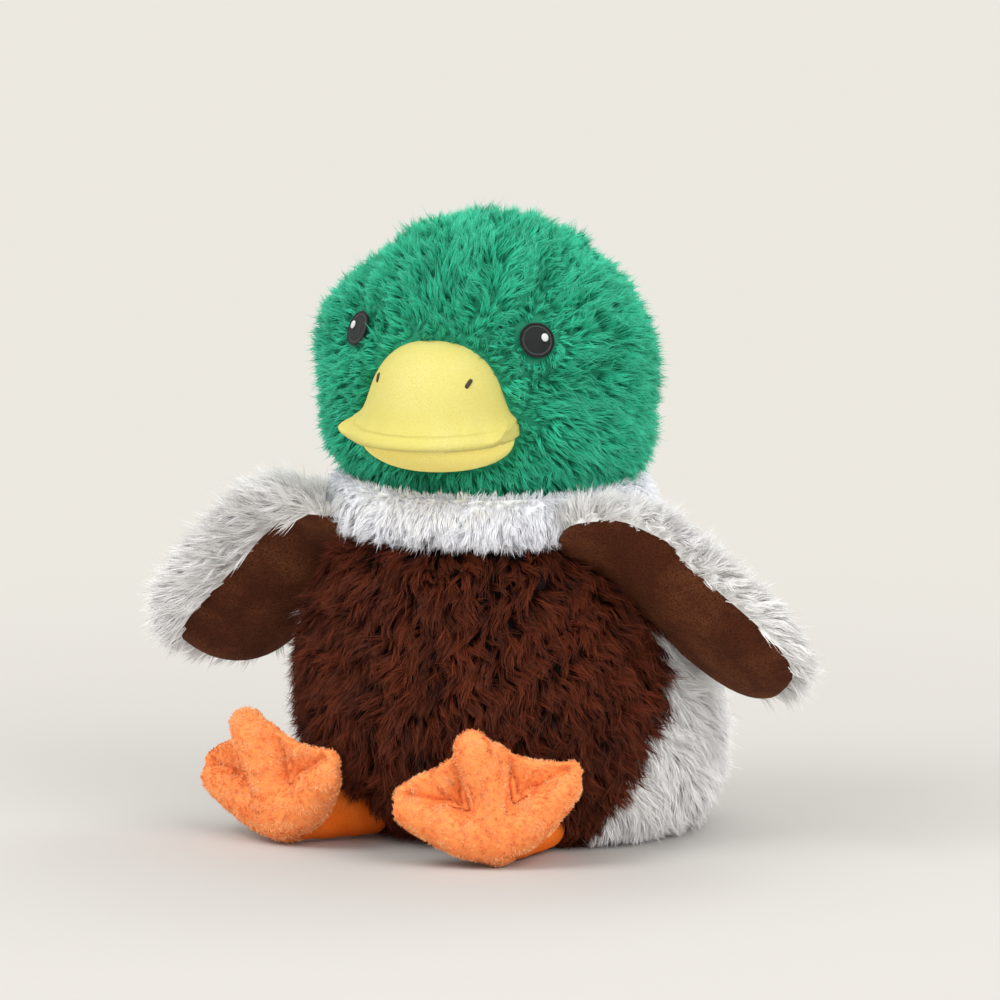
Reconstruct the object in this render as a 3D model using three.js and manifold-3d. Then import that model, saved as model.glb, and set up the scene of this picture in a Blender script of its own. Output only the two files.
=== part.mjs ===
// A seated plush duck in millimetres, +Z up. It faces -Y and its left side is +X.
// Covers are thin sewn panels round separate fillings, and the head, wings, legs and feet hang on their seams.

import * as THREE from 'three';
import { mergeVertices } from 'three/addons/utils/BufferGeometryUtils.js';
import Module from 'manifold-3d';

const wasm = await Module();
wasm.setup();

// Cloths and seams
const plush_thickness = 4;
const velour_thickness = 1.6;
const seam_gap = 0.3;
const cut_overrun = 30;

// Body
const body_radius = 106;
const body_height = 162;
const body_depth_share = 0.94;
const belly_height_share = 0.34;
const neck_forward = 28;
const belly_half_angle = 74;

// Neck band and head
const collar_height = 21;
const collar_thickness = 14;
const collar_overhang = 2;
const plug_height_share = 0.75;
const head_radius = 80;
const head_lift = 71;
const head_gusset_half_width = 45;
const neck_hole_radius = 44;

// Bill, measured from the centre of the head
const bill_half_width = 41;
const bill_reach = 112;
const bill_rise = 50;
const bill_drop = 22;
const bill_root = 62;
const lip_level = -16;
const lip_thickness = 4;
const lip_overhang = 6;
const lip_band = 13;

// Stitched face
const eye_radius = 9.2;
const eye_azimuth = 41;
const eye_elevation = 23;
const eye_depth = 1.6;
const eye_recess = 3;
const glint_radius = 1.9;
const glint_thickness = 0.8;
const glint_aside = 4;
const glint_rise = 1;
const nostril_length = 6.5;
const nostril_width = 2.2;
const nostril_azimuth = 49;
const nostril_rise_angle = 35;
const nostril_tilt = 30;
const nostril_height = 0.8;

// Wings
const wing_span = 104;
const wing_chord = 72;
const wing_thickness = 22;
const wing_root_radius = 9;
const wing_root_rise = 6;
const wing_droop = 38;
const wing_roll = 46;
const wing_sweep = 17;
const shoulder_height_share = 0.926;
const shoulder_azimuth = 72;

// Legs and feet
const leg_radius = 12;
const ankle_radius = 13;
const leg_length = 44;
const leg_wall_hole = 6;
const floor_clearance = 0.2;
const hip_sink = 3;
const leg_drop_range = 35;
const foot_half_width = 51;
const foot_height = 62;
const foot_half_thickness = 9;
const foot_ahead = 1.5;
const foot_roll = 9;
const legs = {
  left: { hip_azimuth: 28, leg_azimuth: -8, foot_azimuth: 22, foot_lean: 4 },
  right: { hip_azimuth: -38, leg_azimuth: -44, foot_azimuth: -22, foot_lean: 12 },
};

// Bag of grain
const pouch_radius = 66;
const pouch_height = 62;
const pouch_sink_share = 0.3;

// Facets round each turned shape
const body_sides = 36;
const head_sides = 28;
const cup_sides = 48;
const bill_sides = 24;
const eye_sides = 16;
const leg_sides = 16;
const wing_sides = 16;

const radians = THREE.MathUtils.degToRad;

// A closed geometry as a solid: shared corners are merged and flat slivers at the poles left out.
function solid(geometry) {
  const bare = geometry.clone();
  bare.deleteAttribute('normal');
  bare.deleteAttribute('uv');
  const merged = mergeVertices(bare);
  const corners = [];
  for (let i = 0; i < merged.index.count; i += 3) {
    const [a, b, c] = [0, 1, 2].map((k) => merged.index.getX(i + k));
    if (a !== b && b !== c && c !== a) corners.push(a, b, c);
  }
  const vertProperties = new Float32Array(merged.attributes.position.array);
  const triVerts = new Uint32Array(corners);
  return new wasm.Manifold(new wasm.Mesh({ numProp: 3, vertProperties, triVerts }));
}

function plush(color) {
  return new THREE.MeshStandardMaterial({ color, roughness: 0.95, metalness: 0 });
}

const green_plush = plush(0x1c8a5c);
const brown_plush = plush(0x3c2218);
const grey_plush = plush(0xc8c8c2);
const white_plush = plush(0xe4e0ea);
const orange_velour = plush(0xf5934f);
const yellow_velour = plush(0xf5e57c);
const brown_velour = plush(0x5f3623);
const black_thread = plush(0x1b1b1d);
const white_thread = plush(0xf2f2f2);
const fibre = plush(0xf1efe8);
const cotton = plush(0xd9cfb8);

function piece(name, shape, material, parent) {
  const { numProp, vertProperties, triVerts } = shape.getMesh();
  const geometry = new THREE.BufferGeometry();
  const interleaved = new THREE.InterleavedBuffer(vertProperties, numProp);
  geometry.setAttribute('position', new THREE.InterleavedBufferAttribute(interleaved, 3, 0));
  geometry.setIndex(new THREE.BufferAttribute(triVerts, 1));
  const flat = geometry.toNonIndexed();
  flat.computeVertexNormals();
  const mesh = new THREE.Mesh(flat, material);
  mesh.name = name;
  parent.add(mesh);
  return mesh;
}

// Radius of a faceted hollow in which a ball of this radius turns freely with the seam gap.
function room_for(radius, sides) {
  return (radius + seam_gap) / Math.cos(Math.PI / sides) ** 2;
}

// Unit vector on the level, turned from straight ahead towards the duck's left.
function heading(azimuth) {
  return new THREE.Vector3(Math.sin(radians(azimuth)), -Math.cos(radians(azimuth)), 0);
}

function sphere(radius, centre, around, rings) {
  return solid(new THREE.SphereGeometry(radius, around, rings).rotateX(Math.PI / 2)
    .translate(centre.x, centre.y, centre.z));
}

function box(from, to) {
  const size = new THREE.Vector3().subVectors(to, from);
  const middle = new THREE.Vector3().addVectors(from, to).multiplyScalar(1 / 2);
  return solid(new THREE.BoxGeometry(size.x, size.y, size.z).translate(middle.x, middle.y, middle.z));
}

// Upright cylinder between two levels.
function post(radius, low, high, around) {
  const height = high - low;
  return solid(new THREE.CylinderGeometry(radius, radius, height, around).rotateX(Math.PI / 2)
    .translate(0, 0, low + height / 2));
}

const duck = new THREE.Group();

// Body: a pear turned about an upright line, then made shallower and leant forward.
const body_profile_shares = [
  [0.66, 0], [0.79, 0.035], [0.89, 0.1], [0.97, 0.21], [1, 0.34], [0.985, 0.5],
  [0.93, 0.65], [0.845, 0.8], [0.765, 0.92], [0.72, 1],
];

function body_radius_at(height) {
  const share = height / body_height;
  const above = body_profile_shares.findIndex((point) => point[1] >= share);
  const [r1, h1] = body_profile_shares[Math.max(above, 1)];
  const [r0, h0] = body_profile_shares[Math.max(above, 1) - 1];
  return body_radius * (r0 + (r1 - r0) * (share - h0) / (h1 - h0));
}

// The lean moves each level forward in proportion to its height above the belly.
const belly_height = belly_height_share * body_height;
const lean_share = neck_forward / (body_height - belly_height);

function body_centre_at(height) {
  return new THREE.Vector3(0, -lean_share * (height - belly_height), height);
}

const lean = new THREE.Matrix4().set(
  1, 0, 0, 0,
  0, body_depth_share, -lean_share, lean_share * belly_height,
  0, 0, 1, 0,
  0, 0, 0, 1,
);

// The pear inside its surface by an inset, still upright and round.
function pear(inset, around) {
  const points = [new THREE.Vector2(0, inset)];
  for (const [radius_share, height_share] of body_profile_shares) {
    const level = Math.max(height_share * body_height, inset);
    if (level > points.at(-1).y || points.length === 1) {
      points.push(new THREE.Vector2(radius_share * body_radius - inset, level));
    }
  }
  points.push(new THREE.Vector2(0, body_height));
  return solid(new THREE.LatheGeometry(points, around).rotateX(Math.PI / 2));
}

// A wedge of the upright pear between two headings, with its edge on the middle line.
function sector(from, to) {
  const reach = body_radius + cut_overrun;
  const outline = new THREE.Shape([new THREE.Vector2(0, 0)]);
  const steps = 4;
  for (let i = 0; i <= steps; i += 1) {
    const way = heading(from + (to - from) * i / steps).multiplyScalar(reach * Math.SQRT2);
    outline.lineTo(way.x, way.y);
  }
  const depth = body_height + cut_overrun * 2;
  return solid(new THREE.ExtrudeGeometry(outline, { depth, bevelEnabled: false, steps: 1 })
    .translate(0, 0, -cut_overrun));
}

const head_centre = body_centre_at(body_height);
head_centre.z += head_lift;
const neck_centre = new THREE.Vector3(head_centre.x, head_centre.y, 0);

// Everything that the body gives way to: the ball of the head, the wing roots and both legs.
const leg_level = ankle_radius + floor_clearance;

function hip_place(leg) {
  const out = body_radius_at(leg_level) - hip_sink;
  const way = heading(leg.hip_azimuth).multiplyScalar(out);
  way.y *= body_depth_share;
  return way.add(body_centre_at(leg_level));
}

// Tube with a ball at each end, from the hip at the origin towards -Y.
function capsule(radius_at_hip, radius_at_ankle) {
  const points = [new THREE.Vector2(0, -radius_at_hip)];
  const steps = 4;
  for (let i = 1; i <= steps; i += 1) {
    const turn = Math.PI / 2 * (i / steps - 1);
    points.push(new THREE.Vector2(radius_at_hip * Math.cos(turn), radius_at_hip * Math.sin(turn)));
  }
  for (let i = 0; i < steps; i += 1) {
    const turn = Math.PI / 2 * i / steps;
    points.push(new THREE.Vector2(
      radius_at_ankle * Math.cos(turn), leg_length + radius_at_ankle * Math.sin(turn)));
  }
  points.push(new THREE.Vector2(0, leg_length + radius_at_ankle));
  return new THREE.LatheGeometry(points, leg_sides).rotateX(Math.PI);
}

// The slot in the body that a leg needs from its rest down to its lowest position.
function leg_pocket(leg) {
  const room = room_for(leg_radius, leg_sides);
  const far_room = room_for(ankle_radius, leg_sides);
  const drop = radians(leg_drop_range);
  const outline = new THREE.Shape();
  outline.moveTo(leg_length, far_room);
  const steps = 6;
  for (let i = 0; i <= steps; i += 1) {
    const turn = Math.PI / 2 + (Math.PI / 2 + Math.PI / 2 - drop) * i / steps;
    outline.lineTo(room * Math.cos(turn), room * Math.sin(turn));
  }
  outline.lineTo(leg_length * Math.cos(drop) - far_room * Math.sin(drop),
    -leg_length * Math.sin(drop) - far_room * Math.cos(drop));
  const width = 2 * (ankle_radius + seam_gap);
  const slot = new THREE.ExtrudeGeometry(outline, { depth: width, bevelEnabled: false, steps: 1 })
    .translate(0, 0, -width / 2).rotateX(Math.PI / 2).rotateZ(radians(leg.leg_azimuth) - Math.PI / 2);
  const hip = hip_place(leg);
  return solid(slot.translate(hip.x, hip.y, hip.z));
}

const shoulder_height = shoulder_height_share * body_height;

function shoulder_place(side) {
  const out = body_radius_at(shoulder_height) + wing_root_rise;
  return heading(side * shoulder_azimuth).multiplyScalar(out).add(body_centre_at(shoulder_height));
}

function wing_pocket(side) {
  return sphere(room_for(wing_root_radius, leg_sides), shoulder_place(side), leg_sides, leg_sides / 2);
}

const head_room = room_for(head_radius, cup_sides);
const head_space = sphere(head_room, head_centre, cup_sides, cup_sides / 2);
const limb_space = leg_pocket(legs.left).add(leg_pocket(legs.right))
  .add(wing_pocket(1)).add(wing_pocket(-1));

const leant = (upright) => upright.transform(lean.elements);
const trimmed = (shape) => shape.subtract(head_space).subtract(limb_space);
const body_top = box(
  new THREE.Vector3(-body_radius - cut_overrun, -body_radius * 2, body_height - seam_gap),
  new THREE.Vector3(body_radius + cut_overrun, body_radius * 2, body_height + cut_overrun));

const seat_edge = body_radius * body_profile_shares[0][0] - plush_thickness;
const cover = pear(0, body_sides).subtract(pear(plush_thickness, body_sides));
const side_cover = cover.subtract(post(seat_edge + seam_gap, -cut_overrun, plush_thickness * 2, body_sides));
const seam_angle = THREE.MathUtils.radToDeg(seam_gap / body_radius);

function body_panel(name, from, to, material) {
  const panel = side_cover.intersect(sector(from + seam_angle, to - seam_angle));
  piece(name, trimmed(leant(panel)).subtract(body_top), material, duck);
}

body_panel('belly_panel', -belly_half_angle, belly_half_angle, brown_plush);
body_panel('back_panel_left', belly_half_angle, 180, grey_plush);
body_panel('back_panel_right', -180, -belly_half_angle, grey_plush);

const seat = leant(post(seat_edge, 0, plush_thickness, body_sides));
piece('seat_panel', seat, grey_plush, duck);

// Bag of grain on the seat, and the fibre that fills the rest of the body up into the neck.
function pouch(extra) {
  const half = pouch_height / 2;
  const floor = plush_thickness + seam_gap;
  const ball = new THREE.SphereGeometry(1, bill_sides, bill_sides / 2).rotateX(Math.PI / 2)
    .scale(pouch_radius + extra, pouch_radius + extra, half + extra)
    .translate(0, 0, floor + half * (1 - pouch_sink_share));
  return leant(solid(ball));
}

const above_seat = box(
  new THREE.Vector3(-body_radius, -body_radius, plush_thickness + seam_gap),
  new THREE.Vector3(body_radius, body_radius, body_height));
piece('grain_pouch', pouch(0).intersect(above_seat), cotton, duck);

const collar_outer = body_radius_at(body_height) + collar_overhang;
const collar_inner = collar_outer - collar_thickness;
const plug_radius = collar_inner * Math.cos(Math.PI / body_sides) - seam_gap;
const neck_plug = post(plug_radius, body_height - cut_overrun,
  body_height + collar_height * plug_height_share, body_sides).translate([neck_centre.x, neck_centre.y, 0]);
const body_fill = leant(pear(plush_thickness + seam_gap, body_sides)).subtract(body_top)
  .add(neck_plug).subtract(pouch(seam_gap));
piece('body_stuffing', trimmed(body_fill), fibre, duck);

// White band round the neck, which twists with the head.
const neck = new THREE.Group();
neck.position.copy(neck_centre);
duck.add(neck);

const collar_outline_shares = [[0, 0], [1, 0], [1.17, 0.25], [1.13, 0.55], [0.9, 0.85], [0.55, 1], [0, 0.98]];
const collar_points = collar_outline_shares.map(([out, up]) => new THREE.Vector2(
  collar_inner + out * collar_thickness, body_height + up * collar_height));
collar_points.push(collar_points[0].clone());
const collar_ring = solid(new THREE.LatheGeometry(collar_points, body_sides).rotateX(Math.PI / 2));
const collar_space = sphere(head_room, new THREE.Vector3(0, 0, head_centre.z), cup_sides, cup_sides / 2);
piece('collar_band', collar_ring.subtract(collar_space), white_plush, neck);

// Head: a ball in three panels over its filling, with the middle panel running over the crown.
const head = new THREE.Group();
head.position.copy(new THREE.Vector3(0, 0, head_centre.z));
neck.add(head);

const origin = new THREE.Vector3();
const ball = (inset) => sphere(head_radius - inset, origin, head_sides, head_sides / 2);
const far = head_radius + cut_overrun;
const neck_hole = post(neck_hole_radius, -far, 0, body_sides);

// Bill space: the half egg that the bill fills, grown by a gap or shrunk by an inset.
function bill_egg(half_width, rise, inset) {
  return solid(new THREE.SphereGeometry(1, bill_sides, bill_sides / 2).rotateX(Math.PI / 2)
    .scale(half_width - inset, bill_reach - bill_root - inset, rise - inset)
    .translate(0, -bill_root, lip_level));
}

const eye_way = heading(eye_azimuth).multiplyScalar(Math.cos(radians(eye_elevation)));
eye_way.z = Math.sin(radians(eye_elevation));

// Turned disc along the line of sight of one eye, between two distances from the head's centre.
function eye_disc(side, radius, near, away, aside = 0, rise = 0) {
  const disc = new THREE.CylinderGeometry(radius, radius, away - near, eye_sides).rotateX(Math.PI / 2)
    .translate(side * aside, rise, (near + away) / 2);
  const look = new THREE.Vector3(side * eye_way.x, eye_way.y, eye_way.z);
  const turn = new THREE.Matrix4().lookAt(look, origin, new THREE.Vector3(0, 0, 1));
  return solid(disc.applyMatrix4(turn));
}

const eye_seat = head_radius - eye_recess;
const eye_hollows = [1, -1].map((side) => eye_disc(side, eye_radius + seam_gap, eye_seat, far));
const head_cover = ball(0).subtract(ball(plush_thickness)).subtract(neck_hole)
  .subtract(eye_hollows[0]).subtract(eye_hollows[1]);
const gusset_edge = head_gusset_half_width;
const half_gap = seam_gap / 2;
const block = (from, to) => box(new THREE.Vector3(from, -far, -far), new THREE.Vector3(to, far, far));
piece('head_centre_panel', head_cover.intersect(block(-gusset_edge + half_gap, gusset_edge - half_gap)),
  green_plush, head);
piece('head_panel_left', head_cover.intersect(block(gusset_edge + half_gap, far)), green_plush, head);
piece('head_panel_right', head_cover.intersect(block(-far, -gusset_edge - half_gap)), green_plush, head);
const neck_fill = ball(0).intersect(post(neck_hole_radius - seam_gap, -far, 0, body_sides));
const head_fill = ball(plush_thickness + seam_gap).add(neck_fill);
piece('head_stuffing', head_fill, fibre, head);

for (const [side, word] of [[1, 'left'], [-1, 'right']]) {
  const back = eye_seat + seam_gap;
  const front = back + eye_depth;
  piece(`eye_${word}`, eye_disc(side, eye_radius, back, front), black_thread, head);
  const shine_back = front + seam_gap;
  const shine_front = shine_back + glint_thickness;
  piece(`eye_glint_${word}`, eye_disc(side, glint_radius, shine_back, shine_front, glint_aside, glint_rise),
    white_thread, head);
}

// Bill: an upper and a lower half round one filling, with the sewn lip standing out between them.
const bill_front = ball(-seam_gap);
const lip_top = lip_level + lip_thickness / 2;
const lip_bottom = lip_level - lip_thickness / 2;
const slab = (low, high) => box(new THREE.Vector3(-far, -far * 2, low), new THREE.Vector3(far, 0, high));
const upper_outer = bill_egg(bill_half_width, bill_rise, 0);
const lower_half_width = bill_half_width - lip_overhang / 2;
const lower_outer = bill_egg(lower_half_width, bill_drop, 0);
const upper_hollow = bill_egg(bill_half_width, bill_rise, velour_thickness);
const lower_hollow = bill_egg(lower_half_width, bill_drop, velour_thickness);
piece('beak_upper', upper_outer.subtract(upper_hollow).intersect(slab(lip_top + seam_gap, far))
  .subtract(bill_front), yellow_velour, head);
piece('beak_lower', lower_outer.subtract(lower_hollow).intersect(slab(-far, lip_bottom - seam_gap))
  .subtract(bill_front), yellow_velour, head);

function lip_oval(out, low, high) {
  return solid(new THREE.CylinderGeometry(1, 1, high - low, body_sides).rotateX(Math.PI / 2)
    .scale(bill_half_width + out, bill_reach - bill_root + out, 1)
    .translate(0, -bill_root, (low + high) / 2));
}

const lip_hole = lip_oval(lip_overhang - lip_band, lip_bottom - cut_overrun, lip_top + cut_overrun);
piece('beak_lip', lip_oval(lip_overhang, lip_bottom, lip_top).subtract(lip_hole).subtract(bill_front),
  yellow_velour, head);

const bill_fill_inset = velour_thickness + seam_gap;
const throat_out = lip_overhang - lip_band - seam_gap;
const bill_throat = lip_oval(throat_out, lip_bottom - velour_thickness, lip_top + velour_thickness);
const bill_fill = bill_egg(bill_half_width, bill_rise, bill_fill_inset)
  .intersect(slab(lip_top + seam_gap, far))
  .add(bill_egg(lower_half_width, bill_drop, bill_fill_inset).intersect(slab(-far, lip_bottom - seam_gap)))
  .add(bill_throat)
  .subtract(bill_front);
piece('beak_stuffing', bill_fill, fibre, head);

// Nostrils: short stitched bars that lie on the upper bill.
function nostril(side) {
  const across = radians(nostril_azimuth);
  const up = radians(nostril_rise_angle);
  const spot = new THREE.Vector3(
    side * bill_half_width * Math.sin(across) * Math.cos(up),
    -bill_root - (bill_reach - bill_root) * Math.cos(across) * Math.cos(up),
    lip_level + bill_rise * Math.sin(up));
  const out = new THREE.Vector3(
    spot.x / bill_half_width ** 2,
    (spot.y + bill_root) / (bill_reach - bill_root) ** 2,
    (spot.z - lip_level) / bill_rise ** 2).normalize();
  const bar = new THREE.BoxGeometry(nostril_width, nostril_length, nostril_height)
    .rotateZ(-side * radians(nostril_tilt));
  const turn = new THREE.Matrix4().lookAt(out, origin, new THREE.Vector3(0, 0, 1));
  bar.applyMatrix4(turn);
  spot.addScaledVector(out, nostril_height / 2 + seam_gap);
  return solid(bar.translate(spot.x, spot.y, spot.z));
}

piece('nostril_left', nostril(1), black_thread, head);
piece('nostril_right', nostril(-1), black_thread, head);

// Wings: flat paddles of oval sections, grey plush outside and smooth lining underneath.
// Each section's shares are: along the span, chord, thickness, and its middle's shift towards the front edge.
const wing_section_shares = [
  [0.13, 0.4, 0.66, 0.09], [0.26, 0.64, 0.72, 0.15], [0.42, 0.86, 0.88, 0.08], [0.6, 0.98, 1, 0.02],
  [0.76, 0.97, 0.96, 0], [0.88, 0.82, 0.8, 0], [0.95, 0.58, 0.55, 0], [0.99, 0.3, 0.28, 0],
];
const wing_filled_shares = wing_section_shares.slice(1, -1);

// The inner half of the root ball, in the same shares of span, chord and thickness.
const wing_root_shares = [20, 55, 90].map((turn) => [
  -wing_root_radius * Math.cos(radians(turn)) / wing_span,
  2 * wing_root_radius * Math.sin(radians(turn)) / wing_chord,
  2 * wing_root_radius * Math.sin(radians(turn)) / wing_thickness,
  0,
]);

// Oval sections joined along the span, each drawn in by the inset.
function paddle(sections, side, inset) {
  const around = wing_sides;
  const points = [];
  for (const [along, chord_share, thick_share, shift_share] of sections) {
    for (let i = 0; i < around; i += 1) {
      const turn = 2 * Math.PI * i / around;
      points.push(
        side * along * wing_span,
        (wing_thickness * thick_share / 2 - inset) * Math.sin(turn),
        (wing_chord * chord_share / 2 - inset) * Math.cos(turn) + wing_chord * shift_share);
    }
  }
  const corners = [];
  const add = (a, b, c) => (side > 0 ? corners.push(a, c, b) : corners.push(a, b, c));
  for (let s = 0; s + 1 < sections.length; s += 1) {
    for (let i = 0; i < around; i += 1) {
      const next = (i + 1) % around;
      const here = s * around;
      const there = here + around;
      add(here + i, here + next, there + i);
      add(here + next, there + next, there + i);
    }
  }
  const last = (sections.length - 1) * around;
  for (let i = 1; i + 1 < around; i += 1) {
    add(0, i + 1, i);
    add(last, last + i, last + i + 1);
  }
  const geometry = new THREE.BufferGeometry();
  geometry.setAttribute('position', new THREE.Float32BufferAttribute(points, 3));
  geometry.setIndex(corners);
  return solid(geometry);
}

for (const [side, word] of [[1, 'left'], [-1, 'right']]) {
  const wing = new THREE.Group();
  wing.position.copy(shoulder_place(side));
  wing.rotation.set(radians(wing_roll), side * radians(wing_droop), side * radians(wing_sweep), 'ZYX');
  duck.add(wing);
  const whole = paddle([...wing_root_shares, ...wing_section_shares], side, 0);
  const hollow = paddle(wing_filled_shares, side, velour_thickness);
  const shell = whole.subtract(hollow);
  const wide = wing_span + cut_overrun;
  const front = box(new THREE.Vector3(-wide, -wide, -wide), new THREE.Vector3(wide, -half_gap, wide));
  const rear = box(new THREE.Vector3(-wide, half_gap, -wide), new THREE.Vector3(wide, wide, wide));
  piece(`wing_outer_${word}`, shell.intersect(rear), grey_plush, wing);
  piece(`wing_lining_${word}`, shell.intersect(front), brown_velour, wing);
  piece(`wing_stuffing_${word}`, paddle(wing_filled_shares, side, velour_thickness + seam_gap),
    fibre, wing);
}

// Feet: webbed pads with three toes, thick along the toes and thin across the webs.
const foot_outline_shares = [
  [0, 0.06, 1], [0.2, -0.04, 1], [0.43, 0.03, 0.95], [0.68, 0.15, 0.95], [0.9, 0.3, 1], [1, 0.42, 1],
  [0.95, 0.54, 1], [0.74, 0.57, 0.85], [0.5, 0.62, 0.6], [0.3, 0.67, 0.6], [0.23, 0.84, 0.9],
  [0.13, 0.97, 1], [0, 1, 1],
];
const foot_centre_share = 0.4;

function foot_pad(inset) {
  const right_half = foot_outline_shares.slice(0, -1);
  const left_half = foot_outline_shares.slice(1).reverse().map(([x, z, thick]) => [-x, z, thick]);
  const outline = [...right_half, ...left_half];
  const centre = new THREE.Vector2(0, foot_centre_share * foot_height);
  const ring_shares = [0.5, 0.85, 1];
  const rim_share = 0.25;
  const points = [0, -foot_half_thickness + inset, centre.y, 0, foot_half_thickness - inset, centre.y];
  const corners = [];
  for (const face of [-1, 1]) {
    for (const ring of ring_shares) {
      for (const [x_share, z_share, thick_share] of outline) {
        const edge = new THREE.Vector2(x_share * foot_half_width, z_share * foot_height);
        const spoke = edge.sub(centre);
        spoke.setLength((spoke.length() - inset) * ring);
        const dome = Math.sqrt(1 - ring ** 2 * (1 - rim_share ** 2));
        const web = 1 + (thick_share - 1) * Math.sin(Math.PI / 2 * Math.min(1, ring / ring_shares[1]));
        const half = Math.max(foot_half_thickness * dome * web - inset, seam_gap);
        points.push(spoke.x, face * half, centre.y + spoke.y);
      }
    }
  }
  const count = outline.length;
  const start = (face, ring) => 2 + (face * ring_shares.length + ring) * count;
  for (const face of [0, 1]) {
    const add = (a, b, c) => (face ? corners.push(a, c, b) : corners.push(a, b, c));
    for (let i = 0; i < count; i += 1) {
      const next = (i + 1) % count;
      add(face, start(face, 0) + i, start(face, 0) + next);
      for (let r = 0; r + 1 < ring_shares.length; r += 1) {
        add(start(face, r) + i, start(face, r + 1) + i, start(face, r + 1) + next);
        add(start(face, r) + i, start(face, r + 1) + next, start(face, r) + next);
      }
    }
  }
  const rim = ring_shares.length - 1;
  for (let i = 0; i < count; i += 1) {
    const next = (i + 1) % count;
    corners.push(start(0, rim) + i, start(1, rim) + i, start(1, rim) + next);
    corners.push(start(0, rim) + i, start(1, rim) + next, start(0, rim) + next);
  }
  const geometry = new THREE.BufferGeometry();
  geometry.setAttribute('position', new THREE.Float32BufferAttribute(points, 3));
  geometry.setIndex(corners);
  return solid(geometry);
}

for (const [word, leg] of Object.entries(legs)) {
  const hip = new THREE.Group();
  hip.position.copy(hip_place(leg));
  hip.rotation.z = radians(leg.leg_azimuth);
  duck.add(hip);
  const tube = solid(capsule(leg_radius, ankle_radius));
  const inner = solid(capsule(leg_radius - velour_thickness, ankle_radius - velour_thickness));
  const skin_depth = velour_thickness + seam_gap;
  const fill = solid(capsule(leg_radius - skin_depth, ankle_radius - skin_depth));
  const mouth = post(leg_wall_hole, 0, ankle_radius + cut_overrun, leg_sides).rotate([-90, 0, 0]);
  piece(`leg_cover_${word}`, tube.subtract(inner).subtract(mouth), orange_velour, hip);
  piece(`leg_stuffing_${word}`, fill, fibre, hip);

  const ankle = new THREE.Group();
  ankle.position.set(0, -leg_length, 0);
  ankle.rotation.set(radians(leg.foot_lean), -radians(foot_roll),
    radians(leg.foot_azimuth - leg.leg_azimuth), 'ZXY');
  hip.add(ankle);
  ankle.updateMatrix();
  const leg_room = capsule(leg_radius + 2 * seam_gap, ankle_radius + seam_gap)
    .translate(0, leg_length, 0).applyMatrix4(ankle.matrix.clone().setPosition(origin).invert());
  const ankle_space = sphere(room_for(ankle_radius, leg_sides), origin, leg_sides, leg_sides / 2)
    .add(solid(leg_room));
  const ahead = [0, -foot_ahead, 0];
  const pad = foot_pad(0).translate(ahead).subtract(ankle_space);
  const room = foot_pad(velour_thickness).translate(ahead);
  const skin = pad.subtract(room);
  const wide = foot_half_width + cut_overrun;
  const middle = -foot_ahead;
  const sole = box(new THREE.Vector3(-wide, -wide, -wide), new THREE.Vector3(wide, middle - half_gap, wide));
  const top = box(new THREE.Vector3(-wide, middle + half_gap, -wide), new THREE.Vector3(wide, wide, wide));
  piece(`foot_sole_${word}`, skin.intersect(sole), orange_velour, ankle);
  piece(`foot_top_${word}`, skin.intersect(top), orange_velour, ankle);
  const stuffed = foot_pad(velour_thickness + seam_gap).translate(ahead);
  piece(`foot_stuffing_${word}`, stuffed.subtract(ankle_space), fibre, ankle);
}

// The middle of the whole toy's box stands over the origin.
const bounds = new THREE.Box3().setFromObject(duck);
duck.position.set(-(bounds.min.x + bounds.max.x) / 2, -(bounds.min.y + bounds.max.y) / 2, 0);

export default duck;
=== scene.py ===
import bpy
import numpy as np
from mathutils import Matrix, Vector
from mathutils.bvhtree import BVHTree


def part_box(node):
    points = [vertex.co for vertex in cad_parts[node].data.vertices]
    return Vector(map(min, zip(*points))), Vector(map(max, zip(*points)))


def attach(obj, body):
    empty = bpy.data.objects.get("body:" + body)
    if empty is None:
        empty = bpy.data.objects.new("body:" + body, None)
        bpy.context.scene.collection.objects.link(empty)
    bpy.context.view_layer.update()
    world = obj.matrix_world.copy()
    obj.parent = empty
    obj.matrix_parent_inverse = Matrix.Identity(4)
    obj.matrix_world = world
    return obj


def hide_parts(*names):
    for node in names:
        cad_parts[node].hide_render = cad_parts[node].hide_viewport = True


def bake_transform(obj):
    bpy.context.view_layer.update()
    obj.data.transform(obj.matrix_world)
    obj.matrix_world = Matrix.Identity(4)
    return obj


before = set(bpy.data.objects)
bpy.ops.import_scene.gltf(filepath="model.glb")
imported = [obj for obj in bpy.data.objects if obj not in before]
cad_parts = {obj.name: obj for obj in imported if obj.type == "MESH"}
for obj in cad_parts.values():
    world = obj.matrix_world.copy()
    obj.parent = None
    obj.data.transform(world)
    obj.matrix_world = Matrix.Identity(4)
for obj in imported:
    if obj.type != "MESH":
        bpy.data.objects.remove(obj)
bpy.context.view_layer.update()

# ---------------------------------------------------------------- studio
# A pale seamless floor that fades into a backdrop of the same colour, lit by three large soft lamps and the sky.
# The camera looks down a little from the duck's left, with a long lens.

backdrop_colour = (0.842, 0.812, 0.751, 1)
floor_colour, floor_radius = (0.555, 0.538, 0.515, 1), 6
floor_fade_start, floor_fade_end = 0.12, 0.80
sky_colour, sky_strength = (1, 0.985, 0.96, 1), 0.84
middle = Vector((0.003, 0, 0.1695))
camera_turn, camera_rise = np.radians(22), np.radians(10)
camera_distance, frame_width, sensor_width = 15, 0.500, 36


def take_up(piece):
    """Selects one piece and nothing else."""
    if bpy.context.object and bpy.context.object.mode != "OBJECT":
        bpy.ops.object.mode_set(mode="OBJECT")
    bpy.ops.object.select_all(action="DESELECT")
    piece.select_set(True)
    bpy.context.view_layer.objects.active = piece
    return piece


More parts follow.
